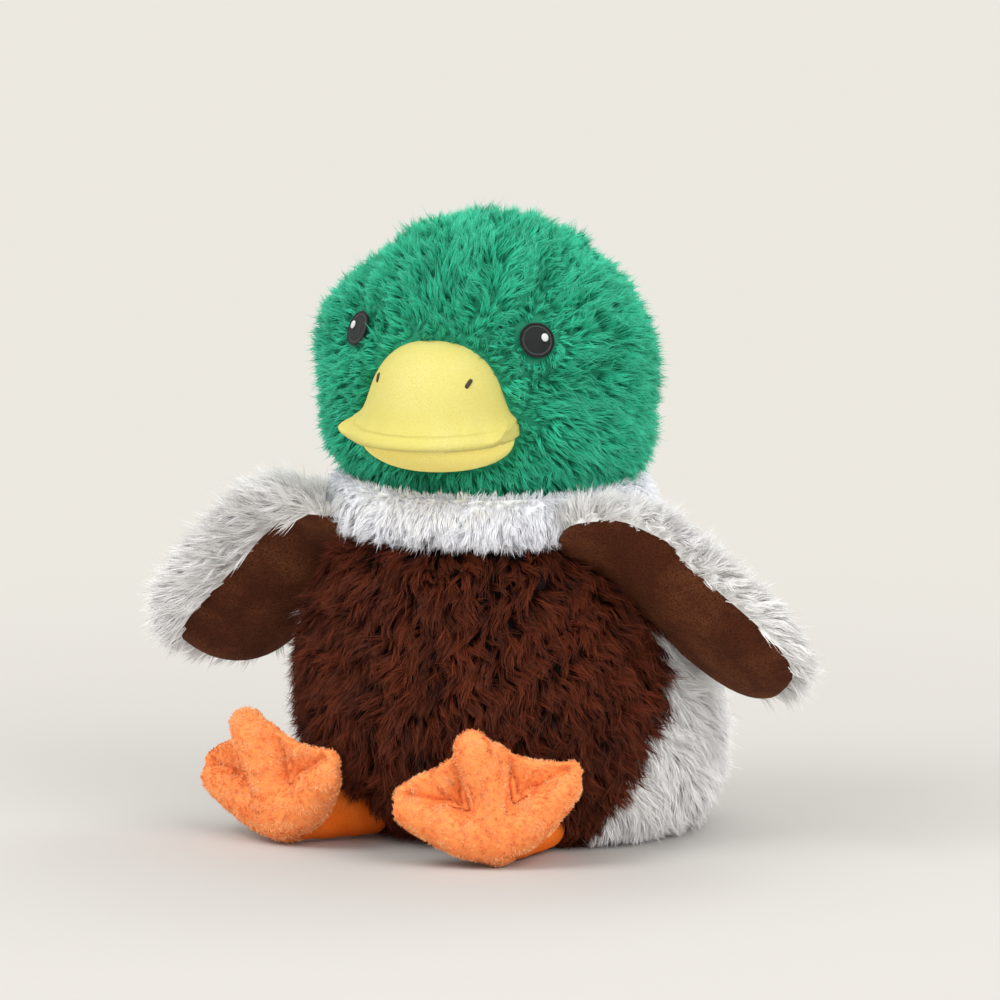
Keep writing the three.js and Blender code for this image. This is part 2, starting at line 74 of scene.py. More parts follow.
def new_material(name):
    """A material with its nodes, its links and its shader."""
    material = bpy.data.materials.new(name)
    material.use_nodes = True
    nodes = material.node_tree.nodes
    return material, nodes, material.node_tree.links, nodes["Principled BSDF"]


def set_inputs(node, **values):
    """Sets a node's inputs by their names, with an underscore for each space."""
    for name, value in values.items():
        node.inputs[name.replace("_", " ")].default_value = value


def hang_lamp(name, spot, size, power):
    """A square soft lamp that points at the duck."""
    bpy.ops.object.light_add(type="AREA", location=spot)
    lamp = bpy.context.object
    lamp.name = name
    lamp.data.size = size
    lamp.data.energy = power
    lamp.rotation_euler = (middle - Vector(spot)).to_track_quat("-Z", "Y").to_euler()


bpy.ops.mesh.primitive_circle_add(vertices=96, radius=floor_radius, fill_type="NGON", location=(0, 0, 0))
floor = bpy.context.object
floor.name = "floor"
material, nodes, links, shader = new_material("studio_floor")
set_inputs(shader, Base_Color=floor_colour, Roughness=0.85, Specular_IOR_Level=0.2)
place = nodes.new("ShaderNodeTexCoord")
distance = nodes.new("ShaderNodeVectorMath")
distance.operation = "LENGTH"
links.new(place.outputs["Object"], distance.inputs[0])
fade = nodes.new("ShaderNodeMapRange")
fade.interpolation_type = "SMOOTHSTEP"
set_inputs(fade, From_Min=floor_fade_start, From_Max=floor_fade_end)
links.new(distance.outputs["Value"], fade.inputs["Value"])
sight = nodes.new("ShaderNodeLightPath")
seen = nodes.new("ShaderNodeMath")
seen.operation = "MULTIPLY"
links.new(fade.outputs["Result"], seen.inputs[0])
links.new(sight.outputs["Is Camera Ray"], seen.inputs[1])
glow = nodes.new("ShaderNodeEmission")
set_inputs(glow, Color=backdrop_colour)
mix = nodes.new("ShaderNodeMixShader")
for number, source in enumerate((seen, shader, glow)):
    links.new(source.outputs[0], mix.inputs[number])
links.new(mix.outputs[0], nodes["Material Output"].inputs["Surface"])
floor.data.materials.append(material)

world = bpy.data.worlds.new("studio")
bpy.context.scene.world = world
world.use_nodes = True
nodes, links = world.node_tree.nodes, world.node_tree.links
sky = nodes["Background"]
set_inputs(sky, Color=sky_colour, Strength=sky_strength)
wall = nodes.new("ShaderNodeBackground")
set_inputs(wall, Color=backdrop_colour, Strength=1)
sight = nodes.new("ShaderNodeLightPath")
mix = nodes.new("ShaderNodeMixShader")
for number, source in enumerate((sight.outputs["Is Camera Ray"], sky.outputs[0], wall.outputs[0])):
    links.new(source, mix.inputs[number])
links.new(mix.outputs[0], nodes["World Output"].inputs["Surface"])

hang_lamp("key_lamp", (-0.9, -1.3, 1.7), size=1.2, power=24)
hang_lamp("side_lamp", (1.5, -0.9, 1.3), size=1.4, power=22)
hang_lamp("back_lamp", (0.5, 1.7, 1.8), size=1.2, power=12)

bpy.ops.object.camera_add()
camera = bpy.context.object
camera.location = middle + camera_distance * Vector(
    (np.sin(camera_turn) * np.cos(camera_rise), -np.cos(camera_turn) * np.cos(camera_rise), np.sin(camera_rise)))
camera.rotation_euler = (middle - camera.location).to_track_quat("-Z", "Y").to_euler()
camera.data.sensor_width = sensor_width
camera.data.lens = sensor_width * camera_distance / frame_width
camera.data.clip_end = 40
bpy.context.scene.camera = camera
bpy.context.scene.view_settings.view_transform = "Standard"

# ---------------------------------------------------------------- legs and feet
# Each leg is a short stuffed tube of orange velour. The foot is two shapes of velour sewn face to face, with three
# stuffed toes, slack webs that sink between them and a short brushed nap. Its heel is sewn round the end of the leg.

orange, orange_worn = (0.97, 0.41, 0.150), (1.0, 0.53, 0.24)
# The nap's root colour is painted shade deep in the pile, and its tip colour a painted highlight at the hair tips.
orange_tip_highlight, orange_root_shade = (1.0, 0.62, 0.32), (0.95, 0.30, 0.080)
# The tube's deep colour is painted shade in the low spots of its grain.
tube_orange, tube_brushed, tube_grain_shade = (1.0, 0.180, 0.013), (1.0, 0.23, 0.025), (0.92, 0.14, 0.009)
heel_radius, leg_top_radius = 0.0130, 0.0118
# The tube's root is tucked this far into the body, past the end of its filling.
tube_tuck = 0.008
# Distance along the tube from the hip, and share of the top's radius.
tube_rings = [
    (0.0, 1.0), (0.004, 1.02), (0.010, 1.05), (0.016, 0.99), (0.022, 1.06), (0.028, 1.04),
    (0.033, 0.985), (0.038, 1.04), (0.044, 1.03), (0.049, 0.94), (0.053, 0.72), (0.0555, 0.4),
]
legs = {
    "left": dict(hip=(0.04146, -0.04041, 0.0132), along=(-0.13917, -0.99027, 0),
                 ankle=(0.03534, -0.08398, 0.0132), seed=51, lean=0,
                 axes=((0.91986, 0.35988, 0.15605), (-0.37369, 0.92493, 0.06976), (-0.11923, -0.12248, 0.98528))),
    "right": dict(hip=(-0.05438, -0.03252, 0.0132), along=(-0.69466, -0.71934, 0),
                  ankle=(-0.08494, -0.06418, 0.0132), seed=52, lean=0.11,
                  axes=((0.90358, -0.40015, 0.15302), (0.36642, 0.90692, 0.20791), (-0.22197, -0.1318, 0.9661))),
}
# Foot in its own axes: across, through (towards the body) and up along the toes. Each point has its radius.
toe_points = {
    "heel": ((0, 0, 0.0012), 0.0122), "palm": ((0, -0.0012, 0.015), 0.0118),
    "middle_1": ((-0.0012, -0.0022, 0.029), 0.0092), "middle_2": ((-0.0040, -0.0016, 0.0455), 0.0090),
    "middle_3": ((-0.0068, 0, 0.0590), 0.0060),
    "inner_0": ((-0.0095, -0.0005, 0.0042), 0.0118), "inner_1": ((-0.0210, -0.001, 0.0092), 0.0102),
    "inner_2": ((-0.0355, -0.001, 0.0180), 0.0080), "inner_3": ((-0.0490, -0.001, 0.0272), 0.0056),
    "outer_0": ((0.0095, -0.0005, 0.0042), 0.0118), "outer_1": ((0.0205, -0.001, 0.0092), 0.0102),
    "outer_2": ((0.0335, -0.001, 0.0180), 0.0080), "outer_3": ((0.0455, -0.001, 0.0270), 0.0056),
}
toe_lines = [("heel", "palm"), ("palm", "middle_1"), ("middle_1", "middle_2"), ("middle_2", "middle_3"),
             ("heel", "inner_0"), ("inner_0", "inner_1"), ("inner_1", "inner_2"), ("inner_2", "inner_3"),
             ("heel", "outer_0"), ("outer_0", "outer_1"), ("outer_1", "outer_2"), ("outer_2", "outer_3")]
skin_gain = 1.26
# Half of the web's outline, across and up. On the other half the web between the toes stands a little higher.
web_outline = [(0, 0.006), (0.018, 0.006), (0.036, 0.015), (0.0480, 0.027), (0.0460, 0.0335), (0.034, 0.0350),
               (0.023, 0.0375), (0.0145, 0.0425), (0.0080, 0.0490), (0, 0.050)]
web_thickness, web_sink, web_rise = 0.0048, 0.0022, 0.0035
# Folds of each web: from its inner end to its outer end, across and up, with its depth. They meet in a pit.
web_folds = [((0.0118, 0.0185), (0.0125, 0.0400), 0.0038), ((0.0118, 0.0185), (0.0405, 0.0300), 0.0042),
             ((0.0125, 0.0190), (0.0245, 0.0360), -0.0024)]
fold_width, fold_fade = 0.0017, 0.35
pit_place, pit_depth, pit_width = (0.0150, 0.0225), 0.0030, 0.0065
foot_grain = 0.0012
middle_toe_lean, middle_toe_half = 0.11, 0.0080
side_toe_slope, side_toe_base, side_toe_half = 0.56, 0.002, 0.0090


def new_group(name, inputs, outputs):
    """A shader node group with named sockets, and its nodes, its links, its input node and its output node."""
    group = bpy.data.node_groups.new(name, "ShaderNodeTree")
    for way, sockets in (("INPUT", inputs), ("OUTPUT", outputs)):
        for socket, kind in sockets.items():
            group.interface.new_socket(name=socket, in_out=way, socket_type=f"NodeSocket{kind}")
    nodes = group.nodes
    return group, nodes, group.links, nodes.new("NodeGroupInput"), nodes.new("NodeGroupOutput")


def blend(nodes, links, factor, first, second):
    """Mixes two colours by a factor."""
    found = nodes.new("ShaderNodeMix")
    found.data_type = "RGBA"
    for socket, source in (("Factor", factor), ("A", first), ("B", second)):
        links.new(source, found.inputs[socket])
    return found.outputs["Result"]


def add_bump(nodes, links, shader, height, strength, distance):
    """Raises a surface by a height pattern."""
    bump = nodes.new("ShaderNodeBump")
    set_inputs(bump, Strength=strength, Distance=distance)
    links.new(height, bump.inputs["Height"])
    links.new(bump.outputs["Normal"], shader.inputs["Normal"])


def nap_colours(group_name="nap_colours"):
    """Colours and height of a short brushed pile: patches where it lies the other way, and a fine grain whose low
    spots take the deep colour as painted shade.
    """
    if group_name in bpy.data.node_groups:
        return bpy.data.node_groups[group_name]
    group, nodes, links, given, out = new_group(
        group_name, {"Colour": "Color", "Brushed colour": "Color", "Deep colour": "Color", "Patch size": "Float",
                     "Grain size": "Float", "Place": "Vector"}, {"Colour": "Color", "Height": "Float"})

    def noise(size, detail, roughness):
        scale = nodes.new("ShaderNodeMath")
        scale.operation = "DIVIDE"
        scale.inputs[0].default_value = 1
        links.new(given.outputs[size], scale.inputs[1])
        found = nodes.new("ShaderNodeTexNoise")
        set_inputs(found, Detail=detail, Roughness=roughness)
        links.new(given.outputs["Place"], found.inputs["Vector"])
        links.new(scale.outputs[0], found.inputs["Scale"])
        return found.outputs["Fac"]

    def spread(value, low, high):
        found = nodes.new("ShaderNodeMapRange")
        set_inputs(found, From_Min=low, From_Max=high)
        links.new(value, found.inputs["Value"])
        return found.outputs["Result"]

    patches, grain = noise("Patch size", 3, 0.55), noise("Grain size", 2, 0.6)
    brushed = blend(nodes, links, spread(patches, 0.40, 0.66), given.outputs["Colour"],
                    given.outputs["Brushed colour"])
    # The grain's low spots take the deep colour: painted shade in the hollows of the nap.
    links.new(blend(nodes, links, spread(grain, 0.56, 0.30), brushed, given.outputs["Deep colour"]),
              out.inputs["Colour"])
    links.new(grain, out.inputs["Height"])
    return group


def velour(name, colour, brushed, deep, patch, grain, relief, roughness, sheen):
    """Short pile cloth: nap colours by place, with painted shade in the grain's low spots, a fine bump, and a soft
    sheen.
    """
    material, nodes, links, shader = new_material(name)
    place = nodes.new("ShaderNodeTexCoord")
    nap = nodes.new("ShaderNodeGroup")
    nap.node_tree = nap_colours()
    set_inputs(nap, Colour=(*colour, 1), Brushed_colour=(*brushed, 1), Deep_colour=(*deep, 1), Patch_size=patch,
               Grain_size=grain)
    links.new(place.outputs["Object"], nap.inputs["Place"])
    links.new(nap.outputs["Colour"], shader.inputs["Base Color"])
    add_bump(nodes, links, shader, nap.outputs["Height"], 0.6, relief)
    set_inputs(shader, Roughness=roughness, Specular_IOR_Level=0.15, Sheen_Weight=sheen, Sheen_Roughness=0.45,
               Sheen_Tint=(*brushed, 1))
    return material


def pile_colours(group_name="pile_colours"):
    """Colour of a lock of pile: painted shade in the root colour deep in the pile, the cloth's own colour along it,
    and a painted highlight in the tip colour at its tip.
    """
    if group_name in bpy.data.node_groups:
        return bpy.data.node_groups[group_name]
    group, nodes, links, given, out = new_group(
        group_name, {"Root": "Color", "Tip": "Color", "Dull": "Color", "Bright": "Color", "Tone": "Float",
                     "Along": "Float"}, {"Colour": "Color"})
    # deep fades the painted shade of the root colour out along the lock; end blends in the tip colour's painted
    # highlight.
    deep, end = nodes.new("ShaderNodeMapRange"), nodes.new("ShaderNodeMapRange")
    deep.interpolation_type = "SMOOTHSTEP"
    set_inputs(deep, From_Min=0.05, From_Max=0.62)
    set_inputs(end, From_Min=0.70, From_Max=1.0, To_Max=0.55)
    for share in (deep, end):
        links.new(given.outputs["Along"], share.inputs["Value"])
    by_tone = blend(nodes, links, *(given.outputs[name] for name in ("Tone", "Dull", "Bright")))
    tipped = blend(nodes, links, end.outputs["Result"], by_tone, given.outputs["Tip"])
    links.new(blend(nodes, links, deep.outputs["Result"], given.outputs["Root"], tipped), out.inputs["Colour"])
    return group


def pile(name, root, tip, dull, bright, shine=0.22):
    """Cloth with pile. The piece's own map holds the tone of each lock from left to right, and the way from the
    lock's root to its tip from bottom to top."""
    material, nodes, links, shader = new_material(name)
    own_map = nodes.new("ShaderNodeUVMap")
    own_map.uv_map = "OFBake"
    apart = nodes.new("ShaderNodeSeparateXYZ")
    links.new(own_map.outputs["UV"], apart.inputs[0])
    shade = nodes.new("ShaderNodeGroup")
    shade.node_tree = pile_colours()
    # The root colour is painted shade deep in the pile, and the tip colour a painted highlight at the hair tips.
    set_inputs(shade, Root=(*root, 1), Tip=(*tip, 1), Dull=(*dull, 1), Bright=(*bright, 1))
    links.new(apart.outputs["X"], shade.inputs["Tone"])
    links.new(apart.outputs["Y"], shade.inputs["Along"])
    links.new(shade.outputs["Colour"], shader.inputs["Base Color"])
    set_inputs(shader, Roughness=0.62, Specular_IOR_Level=shine, Sheen_Weight=0.5, Sheen_Roughness=0.5,
               Sheen_Tint=(*tip, 1))
    return material


def read(items, name, width, kind=np.float32):
    """One value of each item of a mesh, as rows."""
    found = np.empty(len(items) * width, kind)
    items.foreach_get(name, found)
    return found.reshape(-1, width)


def corners(piece):
    """The places of a mesh's corners, as rows."""
    return read(piece.data.vertices, "co", 3).astype(float)


def set_corners(piece, places):
    """Moves a mesh's corners to new places."""
    piece.data.vertices.foreach_set("co", np.asarray(places, np.float32).ravel())
    piece.data.update()


def stand(piece, matrix):
    """Puts a piece that was made in its own axes in its place, with its place in its mesh."""
    piece.data.transform(matrix)
    if matrix.determinant() < 0:
        piece.data.flip_normals()
    piece.data.update()


def own_axes(centre, axes):
    """The matrix of a piece's own three axes at a centre."""
    matrix = Matrix([[axes[c][r] for c in range(3)] for r in range(3)]).to_4x4()
    matrix.translation = Vector(centre)
    return matrix


def smooth(piece, turns=1, factor=0.5):
    """Smooths every corner of a piece towards its neighbours."""
    take_up(piece)
    bpy.ops.object.mode_set(mode="EDIT")
    bpy.ops.mesh.select_all(action="SELECT")
    bpy.ops.mesh.vertices_smooth(factor=factor, repeat=turns)
    bpy.ops.object.mode_set(mode="OBJECT")


def finish_with(piece, kind, **settings):
    """Adds a modifier, sets it and applies it."""
    take_up(piece)
    modifier = piece.modifiers.new(kind.lower(), kind)
    for name, value in settings.items():
        setattr(modifier, name, value)
    bpy.ops.object.modifier_apply(modifier=modifier.name)


def stuff(piece, held, pressure=4.0, cap=0.005, frames=20):
    """Blows a sewn shape up as its filling does: cloth under pressure, held along its seams, and moved by no more
    than the cap."""
    take_up(piece)
    mesh = piece.data
    seam = piece.vertex_groups.new(name="seam")
    seam.add([int(i) for i in np.flatnonzero(held)], 1.0, "REPLACE")
    before = np.array([v.co for v in mesh.vertices])
    cloth = piece.modifiers.new("cloth", "CLOTH")
    wanted = cloth.settings
    wanted.quality = 5
    wanted.mass = 0.3
    wanted.tension_stiffness = wanted.compression_stiffness = 12
    wanted.shear_stiffness = 6
    wanted.bending_stiffness = 0.4
    wanted.use_pressure = True
    wanted.uniform_pressure_force = pressure
    wanted.effector_weights.gravity = 0
    wanted.vertex_group_mass = "seam"
    cloth.collision_settings.use_collision = False
    cloth.point_cache.frame_start, cloth.point_cache.frame_end = 1, frames
    for step in range(1, frames + 1):
        bpy.context.scene.frame_set(step)
    worn = piece.evaluated_get(bpy.context.evaluated_depsgraph_get())
    after = np.array([v.co for v in worn.data.vertices])
    piece.modifiers.remove(cloth)
    bpy.context.scene.frame_set(1)
    moved = after - before
    size = np.linalg.norm(moved, axis=1, keepdims=True)
    moved = np.nan_to_num(moved * np.minimum(1, cap / np.maximum(size, 1e-9)))
    set_corners(piece, before + moved)


def make_foot(name):
    """One stuffed foot in its own axes."""
    names = list(toe_points)
    bpy.ops.mesh.primitive_plane_add(size=0.01, location=(0, 0, 0))
    toes = bpy.context.object
    toes.name = name
    toes.data.clear_geometry()
    toes.data.from_pydata([toe_points[n][0] for n in names], [(names.index(a), names.index(b)) for a, b in toe_lines],
                          [])
    take_up(toes)
    skin = toes.modifiers.new("skin", "SKIN")
    for i, n in enumerate(names):
        toes.data.skin_vertices[0].data[i].radius = (toe_points[n][1] * skin_gain,) * 2
    toes.data.skin_vertices[0].data[0].use_root = True
    bpy.ops.object.modifier_apply(modifier=skin.name)
    finish_with(toes, "SUBSURF", levels=2, render_levels=2)
    bpy.ops.mesh.primitive_uv_sphere_add(segments=24, ring_count=16, radius=heel_radius - 0.0002)
    heel = bpy.context.object
    outline = web_outline + [(-x, z + (web_rise if 0.012 < x < 0.040 and z > 0.030 else 0))
                             for x, z in reversed(web_outline[1:-1])]
    bpy.ops.mesh.primitive_circle_add(vertices=len(outline), radius=0.01, fill_type="NGON")
    web = bpy.context.object
    set_corners(web, [(x, web_sink, z) for x, z in outline])
    finish_with(web, "SOLIDIFY", thickness=web_thickness, offset=0)
    take_up(toes)
    heel.select_set(True)
    web.select_set(True)
    bpy.ops.object.join()
    finish_with(toes, "REMESH", mode="VOXEL", voxel_size=foot_grain)
    smooth(toes, 3)
    places = corners(toes)
    # The webs stay slack and the heel keeps its round, while the toes fill out.
    across, up = np.abs(places[:, 0]), places[:, 2]
    middle_toe = np.abs(places[:, 0] + middle_toe_lean * up) < middle_toe_half
    side_toe = np.abs((up - side_toe_base) - across * side_toe_slope) < side_toe_half
    held = ~(middle_toe | side_toe) | (np.linalg.norm(places, axis=1) < heel_radius + 0.0015)
    stuff(toes, held, pressure=5, cap=0.0028)
    smooth(toes)
    # Each web is folded in beside the middle toe and along the side toe, and pulled in deepest where the folds meet.
    places = corners(toes)
    flat = np.stack([np.abs(places[:, 0]), places[:, 2]], 1)
    sink = pit_depth * np.exp(-(np.linalg.norm(flat - pit_place, axis=1) / pit_width) ** 2)
    for inner, outer, depth in web_folds:
        inner, line = np.array(inner), np.array(outer) - np.array(inner)
        share = np.clip((flat - inner) @ line / (line @ line), 0, 1)
        off = np.linalg.norm(flat - inner - share[:, None] * line, axis=1)
        sink += depth * (1 - fold_fade * share) * np.exp(-(off / fold_width) ** 2)
    towards = np.where(places[:, 1] < 0.0012, 1.0, -1.0)
    places[:, 1] += towards * sink
    set_corners(toes, places)
    smooth(toes, 1, 0.4)
    bpy.ops.object.shade_smooth()
    return toes


def drift(places, wave, seed):
    """Smooth random directions that are nearly alike at places closer than the wave."""
    rng = np.random.default_rng(seed)
    found = np.zeros_like(places)
    for _ in range(7):
        way = rng.normal(size=3)
        way *= 2 * np.pi * rng.uniform(0.6, 1.5) / (wave * np.linalg.norm(way))
        found += np.sin(places @ way + rng.uniform(0, 6.28))[:, None] * rng.normal(size=3)
    return found / 2.65


def unit(rows):
    """Each row with its length made one."""
    return rows / np.maximum(np.linalg.norm(rows, axis=1, keepdims=True), 1e-12)


def map_backing(piece):
    """Lays the cloth under the pile at the root end of the map, by its place, so that it takes the root colour's
    painted shade.
    """
    mesh = piece.data
    layer = mesh.uv_layers.get("OFBake") or mesh.uv_layers.new(name="OFBake")
    places = corners(piece)[read(mesh.loops, "vertex_index", 1, np.int32)[:, 0]]
    low, span = places.min(0), np.ptp(places, axis=0).max()
    share = (places - low) / span
    spots = np.stack([0.4 + 0.2 * share[:, 0] + 0.05 * share[:, 1], 0.005 + 0.035 * share[:, 2]
                      + 0.01 * share[:, 1]], 1)
    layer.uv.foreach_set("vector", spots.astype(np.float32).ravel())


def sow(piece, rng, locks_per_cm2):
    """Places spread evenly over a cloth piece, and the way out of the cloth at each. Blender's order of faces isn't
    the same in every run, so the faces and their corners are put in order along a slanted line first."""
    piece.data.calc_loop_triangles()
    triangles = read(piece.data.loop_triangles, "vertices", 3, np.int32)
    places = corners(piece)
    rank = places @ (0.61, 1.0, 0.37)
    triangles = np.take_along_axis(triangles, np.argsort(rank[triangles], axis=1), 1)
    triangles = triangles[np.argsort(rank[triangles].sum(1))]
    normals = read(piece.data.vertices, "normal", 3).astype(float)
    a, b, c = (places[triangles[:, k]] for k in range(3))
    area = np.linalg.norm(np.cross(b - a, c - a), axis=1) / 2
    count = int(area.sum() * 1e4 * locks_per_cm2)
    chosen = rng.choice(len(triangles), count, p=area / area.sum())
    first, second = np.sqrt(rng.random(count)), rng.random(count)
    shares = np.stack([1 - first, first * (1 - second), first * second], 1)[:, :, None]
    return (places[triangles[chosen]] * shares).sum(1), unit((normals[triangles[chosen]] * shares).sum(1))


def mesh_of_hairs(name, rows, tones):
    """A piece of tapered hairs, each of one quad and one triangle, with the map that a pile material reads."""
    total = len(tones)
    places = np.stack(rows, 1).reshape(-1, 3)
    base = np.arange(total) * 5
    quads = np.stack([base, base + 1, base + 3, base + 2], 1)
    ends = np.stack([base + 2, base + 3, base + 4], 1)
    mesh = bpy.data.meshes.new(name)
    mesh.vertices.add(len(places))
    mesh.vertices.foreach_set("co", places.astype(np.float32).ravel())
    loops = np.concatenate([quads.ravel(), ends.ravel()]).astype(np.int32)
    mesh.loops.add(len(loops))
    mesh.loops.foreach_set("vertex_index", loops)
    starts = np.concatenate([np.arange(total) * 4, total * 4 + np.arange(total) * 3]).astype(np.int32)
    mesh.polygons.add(len(starts))
    mesh.polygons.foreach_set("loop_start", starts)
    across = np.tile((-0.006, 0.006, -0.006, 0.006, 0.0), total)
    along = np.tile((0.02, 0.02, 0.55, 0.55, 0.99), total)
    spots = np.stack([np.repeat(tones, 5) + across, along], 1)[loops]
    mesh.uv_layers.new(name="OFBake").uv.foreach_set("vector", spots.astype(np.float32).ravel())
    mesh.update(calc_edges=True)
    mesh.validate()
    mesh.polygons.foreach_set("use_smooth", np.ones(len(mesh.polygons), bool))
    piece = bpy.data.objects.new(name, mesh)
    bpy.context.collection.objects.link(piece)
    return piece


# How far pile stays off the floor, how deep it roots, and how short it gets where another piece presses it.
floor_gap, root_depth, pressed_length = 0.0004, 0.0004, 0.0022
stray_share, stray_gain = 0.06, 1.25


def grow_pile(piece, seed, locks_per_cm2, hairs, length, width, comb, lean=0.55, spread=0.0012, clump=0.75,
              tone_wave=0.02, keep=None, pressed_by=(), wild=0.35, swirl=0.35, swirl_wave=0.016):
    """Grows locks of tapered hairs from a cloth piece and joins them to it. The length may be a function, as the comb
    is, of the roots' places and normals. Locks are cut short where another piece presses."""
    rng = np.random.default_rng(seed)
    root, out = sow(piece, rng, locks_per_cm2)
    if keep is not None:
        kept = keep(root)
        root, out = root[kept], out[kept]
    count = len(root)
    long = length(root, out) if callable(length) else np.full(count, float(length))
    long = long * rng.uniform(0.80, 1.12, count)
    lie = comb(root, out) + swirl * drift(root, swirl_wave, seed + 1) + wild * rng.normal(size=(count, 3)) * 0.6
    lie -= (lie * out).sum(1, keepdims=True) * out
    lie = lie / np.maximum(1.0, np.linalg.norm(lie, axis=1, keepdims=True))
    way = unit(out * (1 - lean) + lie * lean * 1.25)
    for other in pressed_by:
        tree = BVHTree.FromObject(other, bpy.context.evaluated_depsgraph_get())
        for i in range(count):
            spot, _, _, gap = tree.ray_cast(Vector(root[i] - out[i] * 0.001), Vector(way[i]), float(long[i]) + 0.003)
            if spot is not None:
                long[i] = max(pressed_length, min(long[i], 0.8 * (gap - 0.001)))
    tone = np.clip(0.5 + 0.16 * drift(root, tone_wave, seed + 2)[:, 0] + 0.15 * rng.normal(size=count), 0.03, 0.97)
    # Hairs of each lock: roots round the lock's own, tips drawn together. A few stand out past their lock.
    lock = np.repeat(np.arange(count), hairs)
    total = len(lock)
    side = unit(np.cross(out, np.where(np.abs(out[:, :1]) < 0.8, (1.0, 0, 0), (0, 1.0, 0))))
    other_side = np.cross(out, side)
    turn, away = rng.uniform(0, 2 * np.pi, total), spread * np.sqrt(rng.random(total))
    offset = (np.cos(turn) * away)[:, None] * side[lock] + (np.sin(turn) * away)[:, None] * other_side[lock]
    reach = long[lock] * rng.uniform(0.72, 1.08, total) * np.where(rng.random(total) < stray_share, stray_gain, 1)
    reach = reach[:, None]
    start = root[lock] + offset - out[lock] * root_depth
    bend = unit(out[lock] * 0.75 + way[lock] * 0.5 + 0.10 * rng.normal(size=(total, 3)))
    tip = root[lock] + offset * (1 - clump) + way[lock] * reach + 0.06 * reach * rng.normal(size=(total, 3))
    elbow = start + bend * reach * 0.48
    points = [start * (1 - s) ** 2 + elbow * 2 * s * (1 - s) + tip * s ** 2 for s in (0.0, 0.55)] + [tip]
    points = [np.concatenate([p[:, :2], np.maximum(p[:, 2:], floor_gap)], 1) for p in points]
    along = unit(tip - start)
    flat = unit(np.cross(along, out[lock]) + 1e-6)
    twist = rng.normal(size=total)[:, None] * 0.55
    flat = flat * np.cos(twist) + np.cross(along, flat) * np.sin(twist)
    half = width / 2 * rng.uniform(0.75, 1.25, total)[:, None]
    rows = [points[0] - flat * half, points[0] + flat * half, points[1] - flat * half * 0.8,
            points[1] + flat * half * 0.8, points[2]]
    hair_tone = np.clip(tone[lock] + 0.05 * rng.normal(size=total), 0.02, 0.98)
    hair = mesh_of_hairs(f"{piece.name}_pile", rows, hair_tone)
    take_up(piece)
    hair.select_set(True)
    bpy.ops.object.join()


def brush_foot(roots, normals):
    """The short nap lies upwards along the toes."""
    return np.array((0, 0, 0.35)) + np.zeros_like(roots)


orange_nap = pile("orange_nap", orange_root_shade, orange_tip_highlight, orange, orange_worn)
orange_tube = velour("orange_velour_leg", tube_orange, tube_brushed, tube_grain_shade, patch=0.012, grain=0.0008,
                     relief=0.0006, roughness=0.9, sheen=0.4)

feet, tubes = {"left": make_foot("foot_pad_left")}, []
feet["right"] = feet["left"].copy()
feet["right"].data = feet["left"].data.copy()
feet["right"].name = "foot_pad_right"
bpy.context.collection.objects.link(feet["right"])
for word, foot in feet.items():
    leg = legs[word]
    places = corners(foot)
    places[:, 0] -= leg["lean"] * np.maximum(places[:, 2], 0)
    set_corners(foot, places)
    stand(foot, own_axes(leg["ankle"], leg["axes"]))
    places = corners(foot)
    places[:, 2] = np.maximum(places[:, 2], 0.0003)
    set_corners(foot, places)
    map_backing(foot)
    grow_pile(foot, leg["seed"], locks_per_cm2=50, hairs=5, length=0.0017, width=0.00034, comb=brush_foot, lean=0.55,
              spread=0.0010, clump=0.45, tone_wave=0.014, swirl=0.9, swirl_wave=0.011)
    foot.data.materials.clear()
    foot.data.materials.append(orange_nap)
    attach(foot, f"foot_{word}")
    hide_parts(f"foot_sole_{word}", f"foot_top_{word}", f"foot_stuffing_{word}")

    bpy.ops.mesh.primitive_circle_add(vertices=24, radius=leg_top_radius, location=(0, tube_tuck, 0),
                                      rotation=(np.pi / 2, 0, 0))
    tube = bpy.context.object
    tube.name = f"leg_tube_{word}"
    bpy.ops.object.transform_apply(location=True, rotation=True, scale=True)
    bpy.ops.object.mode_set(mode="EDIT")
    bpy.ops.mesh.select_all(action="SELECT")
    at, wide = -tube_tuck, 1.0
    for along, share in tube_rings:
        bpy.ops.mesh.extrude_region_move(TRANSFORM_OT_translate={"value": (0, at - along, 0)})
        bpy.ops.transform.resize(value=(share / wide, 1, share / wide), center_override=(0, -along, 0))
        at, wide = along, share
    bpy.ops.mesh.edge_face_add()
    bpy.ops.mesh.select_all(action="DESELECT")
    bpy.ops.object.mode_set(mode="OBJECT")
    for edge in tube.data.edges:
        edge.select = all(abs(tube.data.vertices[i].co.y - tube_tuck) < 1e-6 for i in edge.vertices)
    bpy.ops.object.mode_set(mode="EDIT")
    bpy.ops.mesh.edge_face_add()
    bpy.ops.mesh.select_all(action="SELECT")
    bpy.ops.mesh.normals_make_consistent(inside=False)
    bpy.ops.object.mode_set(mode="OBJECT")
    finish_with(tube, "SUBSURF", levels=2, render_levels=2)
    bpy.ops.object.shade_smooth()
    along = Vector(leg["along"])
    stand(tube, own_axes(leg["hip"], (Vector((0, 0, 1)).cross(along), -along, (0, 0, 1))))
    tube.data.materials.append(orange_tube)
    tubes.append(tube)
    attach(tube, f"leg_{word}")
    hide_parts(f"leg_cover_{word}")

# ---------------------------------------------------------------- bill
# An upper and a lower half of smooth yellow velour, sewn together along the lip, which stands out as a thick welt
# with its corners pinched. The back of the bill is sewn to the face.

# Each velour's deep colour is painted shade in the low spots of its grain.
bill_yellow, bill_pale, bill_grain_shade = (0.600, 0.540, 0.153), (0.622, 0.578, 0.203), (0.572, 0.480, 0.118)
# The chin's copy of the yellow velour is painted much lighter than the upper half's: painted light that lifts the
# shade on the bill's underside.
lit_chin_yellow, lit_chin_pale, lit_chin_grain_shade = (0.99, 0.85, 0.225), (1.0, 0.89, 0.28), (0.94, 0.76, 0.18)
bill_x, bill_y, bill_z = 0, -0.06807, 0.217
